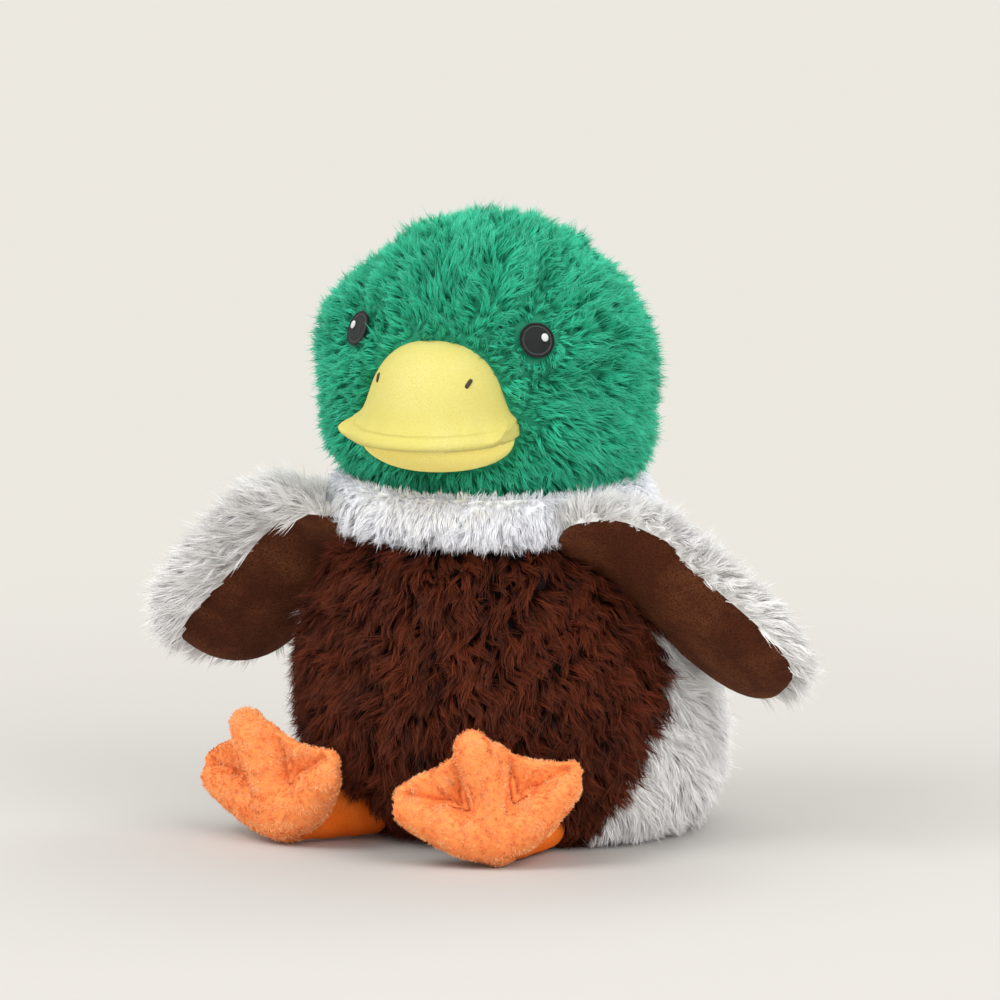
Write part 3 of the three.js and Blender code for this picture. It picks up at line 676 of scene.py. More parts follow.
# Height over the lip, half width and reach of each ring, from the top of the dome down to the chin.
bill_rings = [
    (0.0446, 0.0080, 0.0095), (0.0424, 0.0165, 0.0200), (0.0382, 0.0238, 0.0282), (0.0326, 0.0294, 0.0350),
    (0.0258, 0.0332, 0.0402), (0.0192, 0.0354, 0.0436), (0.0135, 0.0370, 0.0462), (0.0092, 0.0388, 0.0486),
    (0.0064, 0.0412, 0.0510), (0.0050, 0.0434, 0.0528), (0.0042, 0.0430, 0.0520), (0.0034, 0.0446, 0.0536),
    (0.0018, 0.0468, 0.0558), (-0.0004, 0.0476, 0.0565), (-0.0022, 0.0466, 0.0555), (-0.0033, 0.0440, 0.0525),
    (-0.0038, 0.0402, 0.0486), (-0.0056, 0.0394, 0.0476), (-0.0090, 0.0382, 0.0457), (-0.0130, 0.0348, 0.0415),
    (-0.0168, 0.0293, 0.0345), (-0.0196, 0.0215, 0.0250), (-0.0215, 0.0110, 0.0130),
]
bill_sides = 48
# The seams above and below the lip, as heights over its middle, and how far back the bill is sewn to the face.
lip_top_seam, lip_low_seam, face_seam_y = 0.0046, -0.0034, -0.072
# Stitches hold the lip along its middle and in a line on each side, as distances from its middle.
lip_line, hem_start, hem_end = 0.0010, 0.0032, 0.0052
# The lip's corners: angle from the front, how wide they are pinched, and how far they go in, forward and up.
corner_angle, corner_width, corner_draw_in, corner_reach, corner_lift = 1.30, 0.22, 0.0050, 0.0215, 0.0022
lip_dip, lip_raise = 0.0025, 0.0012
gather_depth, gathers, gather_height, gather_span = 0.00035, 21, 0.006, 0.005


def sew_rings(name, rings, sides):
    """A shape made by pulling a ring from level to level. Each ring has its centre, half width and half depth."""
    (x, y, z), wide, deep = rings[0]
    bpy.ops.mesh.primitive_circle_add(vertices=sides, radius=1, location=(x, y, z))
    piece = bpy.context.object
    piece.name = name
    piece.scale = (wide, deep, 1)
    bpy.ops.object.transform_apply(location=True, rotation=True, scale=True)
    bpy.ops.object.mode_set(mode="EDIT")
    bpy.ops.mesh.select_all(action="SELECT")
    bpy.ops.mesh.edge_face_add()
    for (next_x, next_y, next_z), next_wide, next_deep in rings[1:]:
        bpy.ops.mesh.extrude_region_move(TRANSFORM_OT_translate={"value": (next_x - x, next_y - y, next_z - z)})
        bpy.ops.transform.resize(value=(next_wide / wide, next_deep / deep, 1),
                                 center_override=(next_x, next_y, next_z))
        x, y, z, wide, deep = next_x, next_y, next_z, next_wide, next_deep
    bpy.ops.mesh.select_all(action="SELECT")
    bpy.ops.mesh.normals_make_consistent(inside=False)
    bpy.ops.object.mode_set(mode="OBJECT")
    return piece


def split_off(piece, mask, name):
    """Cuts the faces of the mask off into a piece of their own."""
    take_up(piece)
    for element in (piece.data.vertices, piece.data.edges):
        element.foreach_set("select", np.zeros(len(element), bool))
    piece.data.polygons.foreach_set("select", np.asarray(mask, bool))
    bpy.ops.object.mode_set(mode="EDIT")
    bpy.ops.mesh.select_mode(type="FACE")
    bpy.ops.mesh.separate(type="SELECTED")
    bpy.ops.mesh.select_mode(type="VERT")
    bpy.ops.object.mode_set(mode="OBJECT")
    part = [o for o in bpy.context.selected_objects if o != piece][0]
    part.name = part.data.name = name
    return part


def middles(piece):
    """The middle of each face, as rows."""
    return read(piece.data.polygons, "center", 3).astype(float)


bill = sew_rings("bill", [((bill_x, bill_y, bill_z + rise), wide, deep) for rise, wide, deep in bill_rings],
                 bill_sides)
finish_with(bill, "SUBSURF", levels=1, render_levels=1)
places = corners(bill)
rise = places[:, 2] - bill_z
around = np.arctan2(places[:, 0], -(places[:, 1] - bill_y))
# The lip's corners are drawn forward and pinched, and the whole lip dips at its middle.
pinch = np.exp(-((np.abs(np.abs(around) - corner_angle) / corner_width) ** 2)) * np.exp(-(rise / 0.0045) ** 2)
corner_share = np.clip((np.abs(places[:, 0]) - 0.034) / 0.013, 0, 1) ** 2 * np.exp(-(rise / 0.009) ** 2)
places[:, 0] -= np.sign(places[:, 0]) * (corner_draw_in * corner_share - corner_lift * pinch)
places[:, 1] -= corner_reach * corner_share
places[:, 2] += corner_lift * pinch
places[:, 2] -= lip_dip * np.cos(around) * np.exp(-(rise / 0.010) ** 2) - lip_raise
# Gathers run up and down from the stitched lip.
gather = np.sin(around * gathers + 0.7 * np.sin(around * 5))
gather = gather * np.exp(-(((np.abs(rise) - gather_height) / gather_span) ** 2))
outward = np.stack([np.sin(around), -np.cos(around), np.zeros_like(around)], 1)
places += outward * (gather_depth * gather)[:, None]
set_corners(bill, places)
level = np.abs(rise)
held = ((level > hem_start) & (level < hem_end)) | (level < lip_line) | (places[:, 1] > face_seam_y)
stuff(bill, held, pressure=4, cap=0.0010)
bpy.ops.object.shade_smooth()
bill_nap = dict(patch=0.030, grain=0.0007, relief=0.0002, roughness=0.85, sheen=0.3)
bill.data.materials.append(velour("yellow_velour", bill_yellow, bill_pale, bill_grain_shade, **bill_nap))
bill_upper = split_off(bill, middles(bill)[:, 2] - bill_z > lip_top_seam, "bill_upper_half")
bill_lower = split_off(bill, middles(bill)[:, 2] - bill_z < lip_low_seam, "bill_lower_half")
# The lower half takes the lighter copy of the velour, painted light for its shaded underside.
bill_lower.data.materials.clear()
bill_lower.data.materials.append(velour("yellow_velour_chin_painted_light", lit_chin_yellow, lit_chin_pale, lit_chin_grain_shade, **bill_nap))
bill.name = "bill_lip_welt"
for part, *covered in ((bill_upper, "beak_upper", "beak_stuffing"), (bill_lower, "beak_lower"), (bill, "beak_lip")):
    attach(part, "head")
    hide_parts(*covered)

# ---------------------------------------------------------------- eyes and nostrils
# Embroidered in satin stitch: each eye is a black disc of level stitches inside a raised ring, with a white glint.
# The nostrils are short slanted bars of dark brown stitches.

head_centre = (0, -0.00607, 0.233)
eye_radius, eye_front, eye_seat = 0.0092, 0.0812, 0.0022
eye_aside, eye_up = np.radians(40.4), np.radians(22.2)
# Outer radius and colour of the disc, of the thin line round it and of the black edge.
eye_rings = [(0.0069, (0.015, 0.017, 0.018)), (0.0076, (0.085, 0.09, 0.095)), (0.0100, (0.005, 0.005, 0.006))]
# Ring, groove, then the level stitches that rise a little towards the middle: each step's width and height.
eye_steps = [(0.0005, 0.0004), (0.0009, 0.0), (0.0004, -0.0005), (0.0006, 0.0003), (0.0030, 0.0004)]
eye_thickness = 0.0014
glint_aside, glint_rise, glint_radius, glint_thickness = 0.0040, 0.0010, 0.0020, 0.0007
nostril_tilt = np.radians(48)
nostril_length, nostril_width, nostril_thickness = 0.0066, 0.0023, 0.0008


def thread(name, colour, shine, pitch, turn, centre, groove_shade=0.35, rings=None):
    """Satin stitches: fine parallel threads laid along one direction, with painted shade in the groove between each
    two and a painted highlight in the shine colour along their crowns.
    Rings give the threads another colour from each distance outwards."""
    material, nodes, links, shader = new_material(name)
    place = nodes.new("ShaderNodeTexCoord")
    seat = nodes.new("ShaderNodeMapping")
    seat.vector_type = "TEXTURE"
    set_inputs(seat, Location=centre, Rotation=turn)
    links.new(place.outputs["Object"], seat.inputs["Vector"])
    stitches = nodes.new("ShaderNodeTexWave")
    stitches.bands_direction = "Z"
    # A wave texture of scale 1 repeats every 0.314 m.
    set_inputs(stitches, Scale=0.314 / pitch, Distortion=1.2, Detail=2, Detail_Scale=2)
    links.new(seat.outputs["Vector"], stitches.inputs["Vector"])
    ramp = nodes.new("ShaderNodeValToRGB")
    dark, light = ramp.color_ramp.elements
    dark.position, light.position = 0.1, 0.8
    # The grooves are darkened by the groove share as painted shade, and the crowns take the shine colour as a painted
    # highlight.
    dark.color, light.color = (*[c * groove_shade for c in colour], 1), (*shine, 1)
    links.new(stitches.outputs["Fac"], ramp.inputs["Fac"])
    coloured = ramp.outputs["Color"]
    if rings:
        distance = nodes.new("ShaderNodeVectorMath")
        distance.operation = "LENGTH"
        links.new(seat.outputs["Vector"], distance.inputs[0])
        share = nodes.new("ShaderNodeMapRange")
        set_inputs(share, From_Max=rings[-1][0])
        links.new(distance.outputs["Value"], share.inputs["Value"])
        by_ring = nodes.new("ShaderNodeValToRGB")
        bands = by_ring.color_ramp
        bands.interpolation = "CONSTANT"
        bands.elements.remove(bands.elements[1])
        bands.elements[0].color = (*rings[0][1], 1)
        for (start, _), (_, ring_colour) in zip(rings, rings[1:]):
            bands.elements.new(start / rings[-1][0]).color = (*ring_colour, 1)
        links.new(share.outputs["Result"], by_ring.inputs["Fac"])
        both = nodes.new("ShaderNodeMix")
        both.data_type = "RGBA"
        both.blend_type = "MULTIPLY"
        set_inputs(both, Factor=1)
        links.new(coloured, both.inputs["A"])
        links.new(by_ring.outputs["Color"], both.inputs["B"])
        coloured = both.outputs["Result"]
    links.new(coloured, shader.inputs["Base Color"])
    add_bump(nodes, links, shader, stitches.outputs["Fac"], 0.8, 0.0004)
    set_inputs(shader, Roughness=0.42, Specular_IOR_Level=0.4)
    return material


def facing(way, centre):
    """The matrix that turns a flat shape in XY to face a way, with its Y axis as upright as it can be."""
    out = Vector(way).normalized()
    side = Vector((0, 0, 1)).cross(out).normalized()
    return own_axes(centre, (side, out.cross(side), out))


eye_discs = []
for word, side in (("left", 1), ("right", -1)):
    way = Vector((side * np.sin(eye_aside) * np.cos(eye_up), -np.cos(eye_aside) * np.cos(eye_up), np.sin(eye_up)))
    spot = Vector(head_centre) + way * eye_front
    bpy.ops.mesh.primitive_circle_add(vertices=48, radius=eye_radius, fill_type="NGON", location=(0, 0, 0))
    eye = bpy.context.object
    eye.name = f"eye_stitching_{word}"
    bpy.ops.object.mode_set(mode="EDIT")
    bpy.ops.mesh.select_all(action="SELECT")
    bpy.ops.mesh.extrude_region_move(TRANSFORM_OT_translate={"value": (0, 0, eye_thickness)})
    for draw_in, raise_by in eye_steps:
        bpy.ops.mesh.inset(thickness=draw_in, depth=raise_by)
    bpy.ops.mesh.select_all(action="SELECT")
    bpy.ops.mesh.normals_make_consistent(inside=False)
    bpy.ops.object.mode_set(mode="OBJECT")
    finish_with(eye, "SUBSURF", levels=1, render_levels=1)
    bpy.ops.object.shade_smooth()
    stand(eye, facing(way, spot - way * eye_seat))
    eye.data.materials.append(thread(f"black_stitches_{word}", (0.7, 0.7, 0.7), (1, 1, 1), 0.00055, (0, 0, 0),
                                     tuple(spot), rings=eye_rings))
    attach(eye, "head")
    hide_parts(f"eye_{word}")
    eye_discs.append((np.array(spot), np.array(way)))

    bpy.ops.mesh.primitive_uv_sphere_add(segments=24, ring_count=12, radius=1)
    glint = bpy.context.object
    glint.name = f"eye_glint_stitching_{word}"
    set_corners(glint, corners(glint) * (glint_radius * 0.92, glint_radius * 1.05, glint_thickness)
                + (side * glint_aside, glint_rise, 0))
    bpy.ops.object.shade_smooth()
    stand(glint, facing(way, spot))
    glint.data.materials.append(thread(f"white_stitches_{word}", (0.95, 0.95, 0.95), (1, 1, 1), 0.00045,
                                       (0, 0, 0), tuple(spot), groove_shade=0.8))
    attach(glint, "head")
    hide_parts(f"eye_glint_{word}")

for word, side in (("left", 1), ("right", -1)):
    low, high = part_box(f"nostril_{word}")
    spot = (Vector(low) + Vector(high)) / 2
    tree = BVHTree.FromObject(bill_upper, bpy.context.evaluated_depsgraph_get())
    on_bill, normal = tree.find_nearest(spot)[:2]
    bpy.ops.mesh.primitive_uv_sphere_add(segments=16, ring_count=10, radius=1)
    bar = bpy.context.object
    bar.name = f"nostril_stitching_{word}"
    places = corners(bar)
    places = np.sign(places) * np.abs(places) ** np.array((0.7, 0.7, 1.0))
    places *= (nostril_width / 2, nostril_length / 2, nostril_thickness)
    tilt = -side * nostril_tilt
    places[:, :2] = np.stack([places[:, 0] * np.cos(tilt) - places[:, 1] * np.sin(tilt),
                              places[:, 0] * np.sin(tilt) + places[:, 1] * np.cos(tilt)], 1)
    set_corners(bar, places)
    bpy.ops.object.shade_smooth()
    stand(bar, facing(normal, on_bill))
    bar.data.materials.append(thread(f"brown_stitches_{word}", (0.050, 0.030, 0.020), (0.085, 0.055, 0.038), 0.0005,
                                     (0, 0.5, 0), tuple(spot)))
    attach(bar, "head")
    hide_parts(f"nostril_{word}")

# ---------------------------------------------------------------- wings
# Each wing is a flat stuffed paddle that hangs from the shoulder. Its upper face is light grey long pile and its
# underside is a lining of smooth brown velour, and the pile sticks out past the sewn edge all round.

wing_root = (0.08249, -0.02973, 0.15001)
wing_axes = ((0.75358, 0.23039, -0.61566), (0.22042, 0.79379, 0.56685), (0.6193, -0.56287, 0.5474))
# Along the wing, half chord, half thickness, shift towards the front edge, shift away from the lining.
wing_rings = [
    (-0.0340, 0.0110, 0.0055, 0.0150, -0.0200), (-0.0290, 0.0200, 0.0085, 0.0150, -0.0165),
    (-0.0190, 0.0275, 0.0100, 0.0140, -0.0095), (-0.0060, 0.0325, 0.0108, 0.0105, -0.0035),
    (0.0090, 0.0345, 0.0110, 0.0075, 0.0), (0.0240, 0.0352, 0.0112, 0.0050, 0.0),
    (0.0400, 0.0356, 0.0112, 0.0030, 0.0), (0.0560, 0.0358, 0.0112, 0.0015, 0.0),
    (0.0700, 0.0350, 0.0108, 0.0008, 0.0), (0.0820, 0.0325, 0.0100, 0.0, 0.0),
    (0.0920, 0.0275, 0.0088, 0.0, 0.0), (0.0985, 0.0205, 0.0068, 0.0, 0.0), (0.1030, 0.0110, 0.0042, 0.0, 0.0),
]
wing_sides = 32
# How far the grey cloth comes round the front edge and the lower one, as angles on each ring.
grey_wrap, grey_lower_wrap = {"left": -0.36, "right": -1.02}, 2.80
wing_held_to, seam_half = -0.012, 0.0008
crease_depth, crease_pitch, crease_middle, crease_span = 0.0008, 0.0052, 0.004, 0.018
# The pile lies outwards from a place this far along the wing.
comb_middle = 0.055
# Root colour: painted shade deep in the grey pile; tip colour: painted highlight at the hair tips.
grey_root_shade, grey_tip_highlight = (0.85, 0.845, 0.83), (0.96, 0.955, 0.95)
grey_warm, grey_cool = (0.86, 0.85, 0.83), (0.91, 0.91, 0.92)
# The lining's deep colour is painted shade in the low spots of its grain.
lining_brown, lining_brushed, lining_grain_shade = (0.080, 0.020, 0.007), (0.150, 0.048, 0.018), (0.028, 0.007, 0.002)


def at_ring(along, column):
    """One measure of the wing's rings at places along the wing."""
    return np.interp(along, [ring[0] for ring in wing_rings], [ring[column] for ring in wing_rings])


grey_pile = pile("grey_pile", grey_root_shade, grey_tip_highlight, grey_warm, grey_cool)
brown_lining = velour("brown_lining", lining_brown, lining_brushed, lining_grain_shade, patch=0.022, grain=0.0009,
                      relief=0.0006, roughness=0.9, sheen=0.3)

linings = {}
for word, side in (("left", 1), ("right", -1)):
    wing = sew_rings("wing", [((shift, away, along), chord, thick) for along, chord, thick, shift, away in wing_rings],
                     wing_sides)
    finish_with(wing, "SUBSURF", levels=1, render_levels=1)
    # It was made upright, with its chord along X. Now X is along the wing and Z is towards its front edge.
    set_corners(wing, corners(wing)[:, [2, 1, 0]])
    wing.data.flip_normals()
    places = corners(wing)
    seam_at = at_ring(places[:, 0], 4)
    on_seam = np.abs(places[:, 1] - seam_at) < seam_half
    # The grey cloth wraps over the front edge, and the brown a little round the lower one.
    faces = middles(wing)
    chord, thick, shift, away = (at_ring(faces[:, 0], column) for column in (1, 2, 3, 4))
    round_edge = np.arctan2((faces[:, 1] - away) / thick, (faces[:, 2] - shift) / chord)
    is_grey = (round_edge > grey_wrap[word]) & (round_edge < grey_lower_wrap)
    stuff(wing, on_seam | (places[:, 0] < wing_held_to), pressure=6, cap=0.0050)
    places = corners(wing)
    # A slack paddle has a few soft creases across it near the root.
    near_root = np.exp(-((places[:, 0] - crease_middle) / crease_span) ** 2)
    crease = np.sin(places[:, 0] / crease_pitch + places[:, 2] * 60) * near_root
    places[:, 1] += crease_depth * crease * np.sign(places[:, 1] - seam_at)
    set_corners(wing, places)
    stand(wing, Matrix.Diagonal((side, 1, 1, 1)) @ own_axes(wing_root, wing_axes))
    take_up(wing)
    bpy.ops.object.shade_smooth()
    outer = split_off(wing, is_grey, f"wing_upper_face_{word}")
    wing.name = f"wing_lining_velour_{word}"
    wing.data.materials.append(brown_lining)
    linings[word] = wing
    root, outward, front_edge = (np.array(row) * (side, 1, 1) for row in (wing_root, wing_axes[0], wing_axes[2]))

    def off_edge(roots, normals):
        """The pile lies outwards from the middle of the wing, and hangs over the seam all round it."""
        away = roots - (root + outward * comb_middle)
        chord, span = away @ front_edge, away @ outward
        return (np.clip(chord / 0.045, -0.5, 1)[:, None] * front_edge
                + np.clip(span / 0.05 + 0.6, 0.3, 1.3)[:, None] * outward)

    map_backing(outer)
    grow_pile(outer, 11 + side, locks_per_cm2=19, hairs=10, length=0.0150, width=0.00045, comb=off_edge, lean=0.50,
              spread=0.0017, clump=0.42)
    outer.data.materials.append(grey_pile)
    for part, node, slot in ((outer, "wing_outer", "grey_plush"), (wing, "wing_lining", "brown_velour")):
        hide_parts(f"{node}_{word}")
        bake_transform(part)

# ---------------------------------------------------------------- body
# A pear-shaped bag of four pieces of long-pile plush: the dark brown belly, two light grey back panels that meet down
# the back, and a small seat underneath. The filling swells the belly below a crease where the chest ends.

body_depth_share = 0.94
# Height, half width and centre of each ring.
body_rings = [
    (0.0003, 0.0640, 0.03635), (0.0030, 0.0740, 0.0355), (0.0085, 0.0835, 0.0341), (0.0162, 0.0908, 0.0321),
    (0.0250, 0.0958, 0.0298), (0.0340, 0.0993, 0.0274), (0.0450, 0.1015, 0.0246), (0.0550, 0.1025, 0.0219),
    (0.0680, 0.1022, 0.0185), (0.0810, 0.1009, 0.0151), (0.0930, 0.0984, 0.0120), (0.1050, 0.0951, 0.0088),
    (0.1150, 0.0918, 0.0062), (0.1220, 0.0892, 0.0044), (0.1300, 0.0860, 0.0023), (0.1400, 0.0815, -0.0003),
    (0.1490, 0.0776, -0.0027), (0.1560, 0.0750, -0.0045), (0.1620, 0.0728, -0.0061),
]
body_sides = 48
# The side seams' angle from the front, and where they swing forward low down: heights and degrees.
belly_edge = np.radians(75)
belly_edge_low = (0, 0.012, 0.035, 0.058, 0.090), (42, 47, 55, 62.5, 75)
# Root colour: painted shade deep in the brown pile; tip colour: painted highlight at the hair tips.
belly_root_shade, belly_tip_highlight = (0.004, 0.0008, 0.0003), (0.225, 0.060, 0.030)
belly_dull, belly_bright = (0.003, 0.0004, 0.0002), (0.150, 0.028, 0.009)
crease_height, crease_half, crease_reach = 0.1165, 0.0035, np.radians(66)
held_below, held_above = 0.003, 0.158
# The belly's pile is this long where the toy sits on it, and this much longer over the chest.
belly_pile, belly_pile_more = 0.0105, 0.0045
# Swell of the belly and of the chest: depth, height and reach.
swells = [(0.0042, 0.076, 0.026), (0.0030, 0.140, 0.013)]
seat_radius, opening_radius, opening_height = 0.0655, 0.060, 0.155

body = sew_rings("belly_cloth", [((0, at, z), wide, wide * body_depth_share) for z, wide, at in body_rings],
                 body_sides)
finish_with(body, "SUBSURF", levels=1, render_levels=1)
places = corners(body)
ring_centre = np.interp(places[:, 2], [ring[0] for ring in body_rings], [ring[2] for ring in body_rings])
around = np.arctan2(places[:, 0], -(places[:, 1] - ring_centre) / body_depth_share)
belly_side = np.abs(around) < belly_edge + 0.01
seam_here = ((np.abs(np.abs(around) - belly_edge) < 0.01) | (np.abs(around) > np.pi - 0.01)) & (places[:, 2] > 0.002)
at_crease = (np.abs(places[:, 2] - crease_height) < crease_half) & (np.abs(around) < crease_reach)
edge_here = np.radians(np.interp(places[:, 2], *belly_edge_low))
turned = np.where(np.abs(around) < belly_edge, np.abs(around) * edge_here / belly_edge,
                  edge_here + (np.abs(around) - belly_edge) * (np.pi - edge_here) / (np.pi - belly_edge))
turned = np.sign(around) * turned
radius = np.hypot(places[:, 0], (places[:, 1] - ring_centre) / body_depth_share)
front = np.cos(np.clip(around / crease_reach, -1, 1) * np.pi / 2)
radius = radius + front * sum(depth * np.exp(-((places[:, 2] - at) / reach) ** 2) for depth, at, reach in swells)
places[:, 0] = radius * np.sin(turned)
places[:, 1] = ring_centre - radius * np.cos(turned) * body_depth_share
set_corners(body, places)
at_end = (places[:, 2] < held_below) | (places[:, 2] > held_above)
stuff(body, seam_here | at_crease | at_end, pressure=4, cap=0.0045)
take_up(body)
bpy.ops.object.shade_smooth()
in_belly = np.array([all(belly_side[i] for i in face.vertices) for face in body.data.polygons])
faces = middles(body)
rim = np.hypot(faces[:, 0], (faces[:, 1] - body_rings[0][2]) / body_depth_share)
is_seat = (faces[:, 2] < 0.0012) & (rim < seat_radius)
is_top = (faces[:, 2] > opening_height) & (np.hypot(faces[:, 0], faces[:, 1] - body_rings[-1][2]) < opening_radius)
seat = split_off(body, is_seat, "seat_cloth")
left = ~is_seat
bpy.data.objects.remove(split_off(body, is_top[left], "neck_opening"))
left = left & ~is_top
back_right = split_off(body, ~in_belly[left], "back_cloth_right")
back_left = split_off(back_right, middles(back_right)[:, 0] > 0, "back_cloth_left")


def fall(roots, normals):
    """The pile falls down the body and a little to each side."""
    aside = np.sign(roots[:, :1]) * np.minimum(np.abs(roots[:, :1]) / 0.06, 1) * np.array((0.35, 0, 0))
    return np.array((0, 0, -0.95)) + aside


def fall_back(roots, normals):
    """The grey pile falls down and towards the back."""
    return np.array((0, 0.35, -0.85)) + np.zeros_like(roots)


def belly_length(roots, normals):
    """Longest over the chest, shorter where the toy sits on it."""
    return belly_pile + belly_pile_more * np.clip((roots[:, 2] - 0.01) / 0.05, 0, 1)


near_body = list(linings.values()) + list(feet.values()) + tubes
map_backing(body)
grow_pile(body, 21, locks_per_cm2=17, hairs=8, length=belly_length, width=0.00052, comb=fall, lean=0.54,
          spread=0.0016, clump=0.66, pressed_by=near_body, swirl=0.6, swirl_wave=0.022, wild=0.55)
body.data.materials.append(pile("brown_pile", belly_root_shade, belly_tip_highlight, belly_dull, belly_bright, shine=0.12))
for part, seed in ((back_left, 22), (back_right, 23)):
    map_backing(part)
    grow_pile(part, seed, locks_per_cm2=18, hairs=9, length=0.0140, width=0.0005, comb=fall_back, lean=0.50,
              spread=0.0018, clump=0.42, pressed_by=near_body, swirl=0.5, swirl_wave=0.022)
map_backing(seat)
grow_pile(seat, 24, locks_per_cm2=6, hairs=9, length=0.006, width=0.0006, comb=fall_back, lean=0.8, spread=0.0016)
for part, node, slot in ((body, "belly_panel", "brown_plush"), (back_left, "back_panel_left", "grey_plush"),
                         (back_right, "back_panel_right", "grey_plush"), (seat, "seat_panel", "grey_plush")):
    if slot == "grey_plush":
        part.data.materials.append(grey_pile)
    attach(part, "body")
    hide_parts(node)

# ---------------------------------------------------------------- neck band
# A soft ring of white long pile is sewn between the body and the head, and its pile covers both seams.

neck_radius, neck_level, neck_thick, neck_tall = 0.0728, 0.1728, 0.0072, 0.0102
# Waves that the stitches leave round the band: their depth and their number.
neck_waves = [(0.0008, 9), (0.0005, 23)]
# Length of the pile, and how much less it is along the upper edge.
neck_pile, neck_pile_less = 0.0094, 0.0044
# Root colour: painted shade deep in the white pile; tip colour: painted highlight at the hair tips.
white_root_shade, white_tip_highlight = (0.93, 0.94, 0.98), (0.98, 0.985, 1.0)
white_dull, white_bright = (0.93, 0.945, 1.0), (0.96, 0.97, 1.0)

bpy.ops.mesh.primitive_torus_add(major_segments=56, minor_segments=14, major_radius=neck_radius,
                                 minor_radius=neck_thick, location=(0, head_centre[1], neck_level))
neck_band = bpy.context.object
neck_band.name = "neck_band_cloth"
neck_band.scale = (1, 1, neck_tall / neck_thick)
bpy.ops.object.transform_apply(location=True, rotation=True, scale=True)
places = corners(neck_band)
around = np.arctan2(places[:, 0], -(places[:, 1] - head_centre[1]))
outward = np.stack([np.sin(around), -np.cos(around), np.zeros_like(around)], 1)
places += outward * sum(depth * np.sin(around * number) for depth, number in neck_waves)[:, None]
set_corners(neck_band, places)
inside = np.hypot(places[:, 0], places[:, 1] - head_centre[1]) < neck_radius - 0.003
stuff(neck_band, inside, pressure=3, cap=0.0015)
bpy.ops.object.shade_smooth()


def round_neck(roots, normals):
    """The pile lies outwards and down, over the seam with the body."""
    outwards = roots - np.array((0, head_centre[1], 0))
    outwards[:, 2] = 0
    return unit(outwards) * 0.95 + np.array((0, 0, -0.9))


def neck_outside(roots):
    """The pile grows on the band's outer side."""
    return np.hypot(roots[:, 0], roots[:, 1] - head_centre[1]) > neck_radius - 0.005


def neck_length(roots, normals):
    """Shorter along the upper edge, where the head's pile hangs over it."""
    return neck_pile - neck_pile_less * np.clip((roots[:, 2] - neck_level - 0.002) / 0.006, 0, 1)


map_backing(neck_band)
grow_pile(neck_band, 31, locks_per_cm2=24, hairs=11, length=neck_length, width=0.00045, comb=round_neck, lean=0.58,
          spread=0.0016, clump=0.25, keep=neck_outside, swirl=0.3, pressed_by=list(linings.values()))
neck_band.data.materials.append(pile("white_pile", white_root_shade, white_tip_highlight, white_dull, white_bright))
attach(neck_band, "neck")
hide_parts("collar_band")

# ---------------------------------------------------------------- head
# A ball of green long-pile plush: a wide middle panel runs from the bill over the crown to the neck, and a round
# panel is let in on each side. The cheeks are fuller than the crown.

skin_radius = 0.0772
panel_half_width = 0.0453
# Fuller parts of each side: depth, angle from the front and its reach, height over the middle and its reach.
cheeks = [(0.0085, 76, 22, 0.026, 0.022), (0.0085, 118, 42, -0.044, 0.019), (0.0050, 60, 22, -0.026, 0.018)]
neck_seam_height, neck_inside_height = -0.066, 0.1625
# Length of the head's pile, the share it loses along the seams and the share it gains at the neck.
head_pile, seam_draw_in, neck_gain = 0.0115, 0.38, 0.35
bill_middle = np.array((0, -0.085, 0.228))
# Root colour: painted shade deep in the green pile; tip colour: painted highlight at the hair tips.
green_root_shade, green_tip_highlight = (0.004, 0.200, 0.105), (0.15, 0.72, 0.50)
green_dull, green_bright = (0.003, 0.240, 0.120), (0.032, 0.62, 0.370)

bpy.ops.mesh.primitive_uv_sphere_add(segments=56, ring_count=30, radius=skin_radius, location=(0, 0, 0))
head = bpy.context.object
head.name = "head_cloth_centre"
places = corners(head)[:, [2, 0, 1]]
ball_x = np.abs(places[:, 0])
# The ring nearest the seams is moved onto them.
levels = np.unique(np.round(ball_x, 5))
seam_level = levels[np.argmin(np.abs(levels - panel_half_width))]
in_centre = ball_x < seam_level + 1e-4
on_seam = np.abs(ball_x - seam_level) < 1e-4
shifted = np.interp(ball_x, [0, seam_level, skin_radius], [0, panel_half_width, skin_radius]) * np.sign(places[:, 0])
ring = np.sqrt(np.maximum(skin_radius ** 2 - shifted ** 2, 0))
ring = ring / np.maximum(np.hypot(places[:, 1], places[:, 2]), 1e-9)
places = np.stack([shifted, places[:, 1] * ring, places[:, 2] * ring], 1)
turned = np.degrees(np.arctan2(np.abs(places[:, 0]), -places[:, 1]))
off_axis = np.hypot(places[:, 0], places[:, 1]) / skin_radius
swell = sum(depth * np.exp(-((turned - angle) / wide) ** 2 - ((places[:, 2] - height) / tall) ** 2)
            for depth, angle, wide, height, tall in cheeks) * off_axis
places += unit(places * (1, 1, 0.2)) * swell[:, None]
set_corners(head, places + head_centre)
stuff(head, on_seam | (places[:, 2] < neck_seam_height), pressure=4, cap=0.0020)
take_up(head)
bpy.ops.object.shade_smooth()
face_in_centre = np.array([all(in_centre[i] for i in face.vertices) for face in head.data.polygons])
side_right = split_off(head, ~face_in_centre, "head_cloth_right")
side_left = split_off(side_right, middles(side_right)[:, 0] > 0, "head_cloth_left")
bill_pieces = [bill_upper, bill_lower, bill]
bill_trees = [BVHTree.FromObject(piece, bpy.context.evaluated_depsgraph_get()) for piece in bill_pieces]


def eye_distance(roots):
    """Distance of each place from the nearer eye's middle, and the direction away from it."""
    found, away = np.full(len(roots), 9.0), np.zeros_like(roots)
    for spot, way in eye_discs:
        apart = roots - (spot - way * 0.004)
        far = np.linalg.norm(apart, axis=1)
        nearer = far < found
        found[nearer], away[nearer] = far[nearer], unit(apart)[nearer]
    return found, away


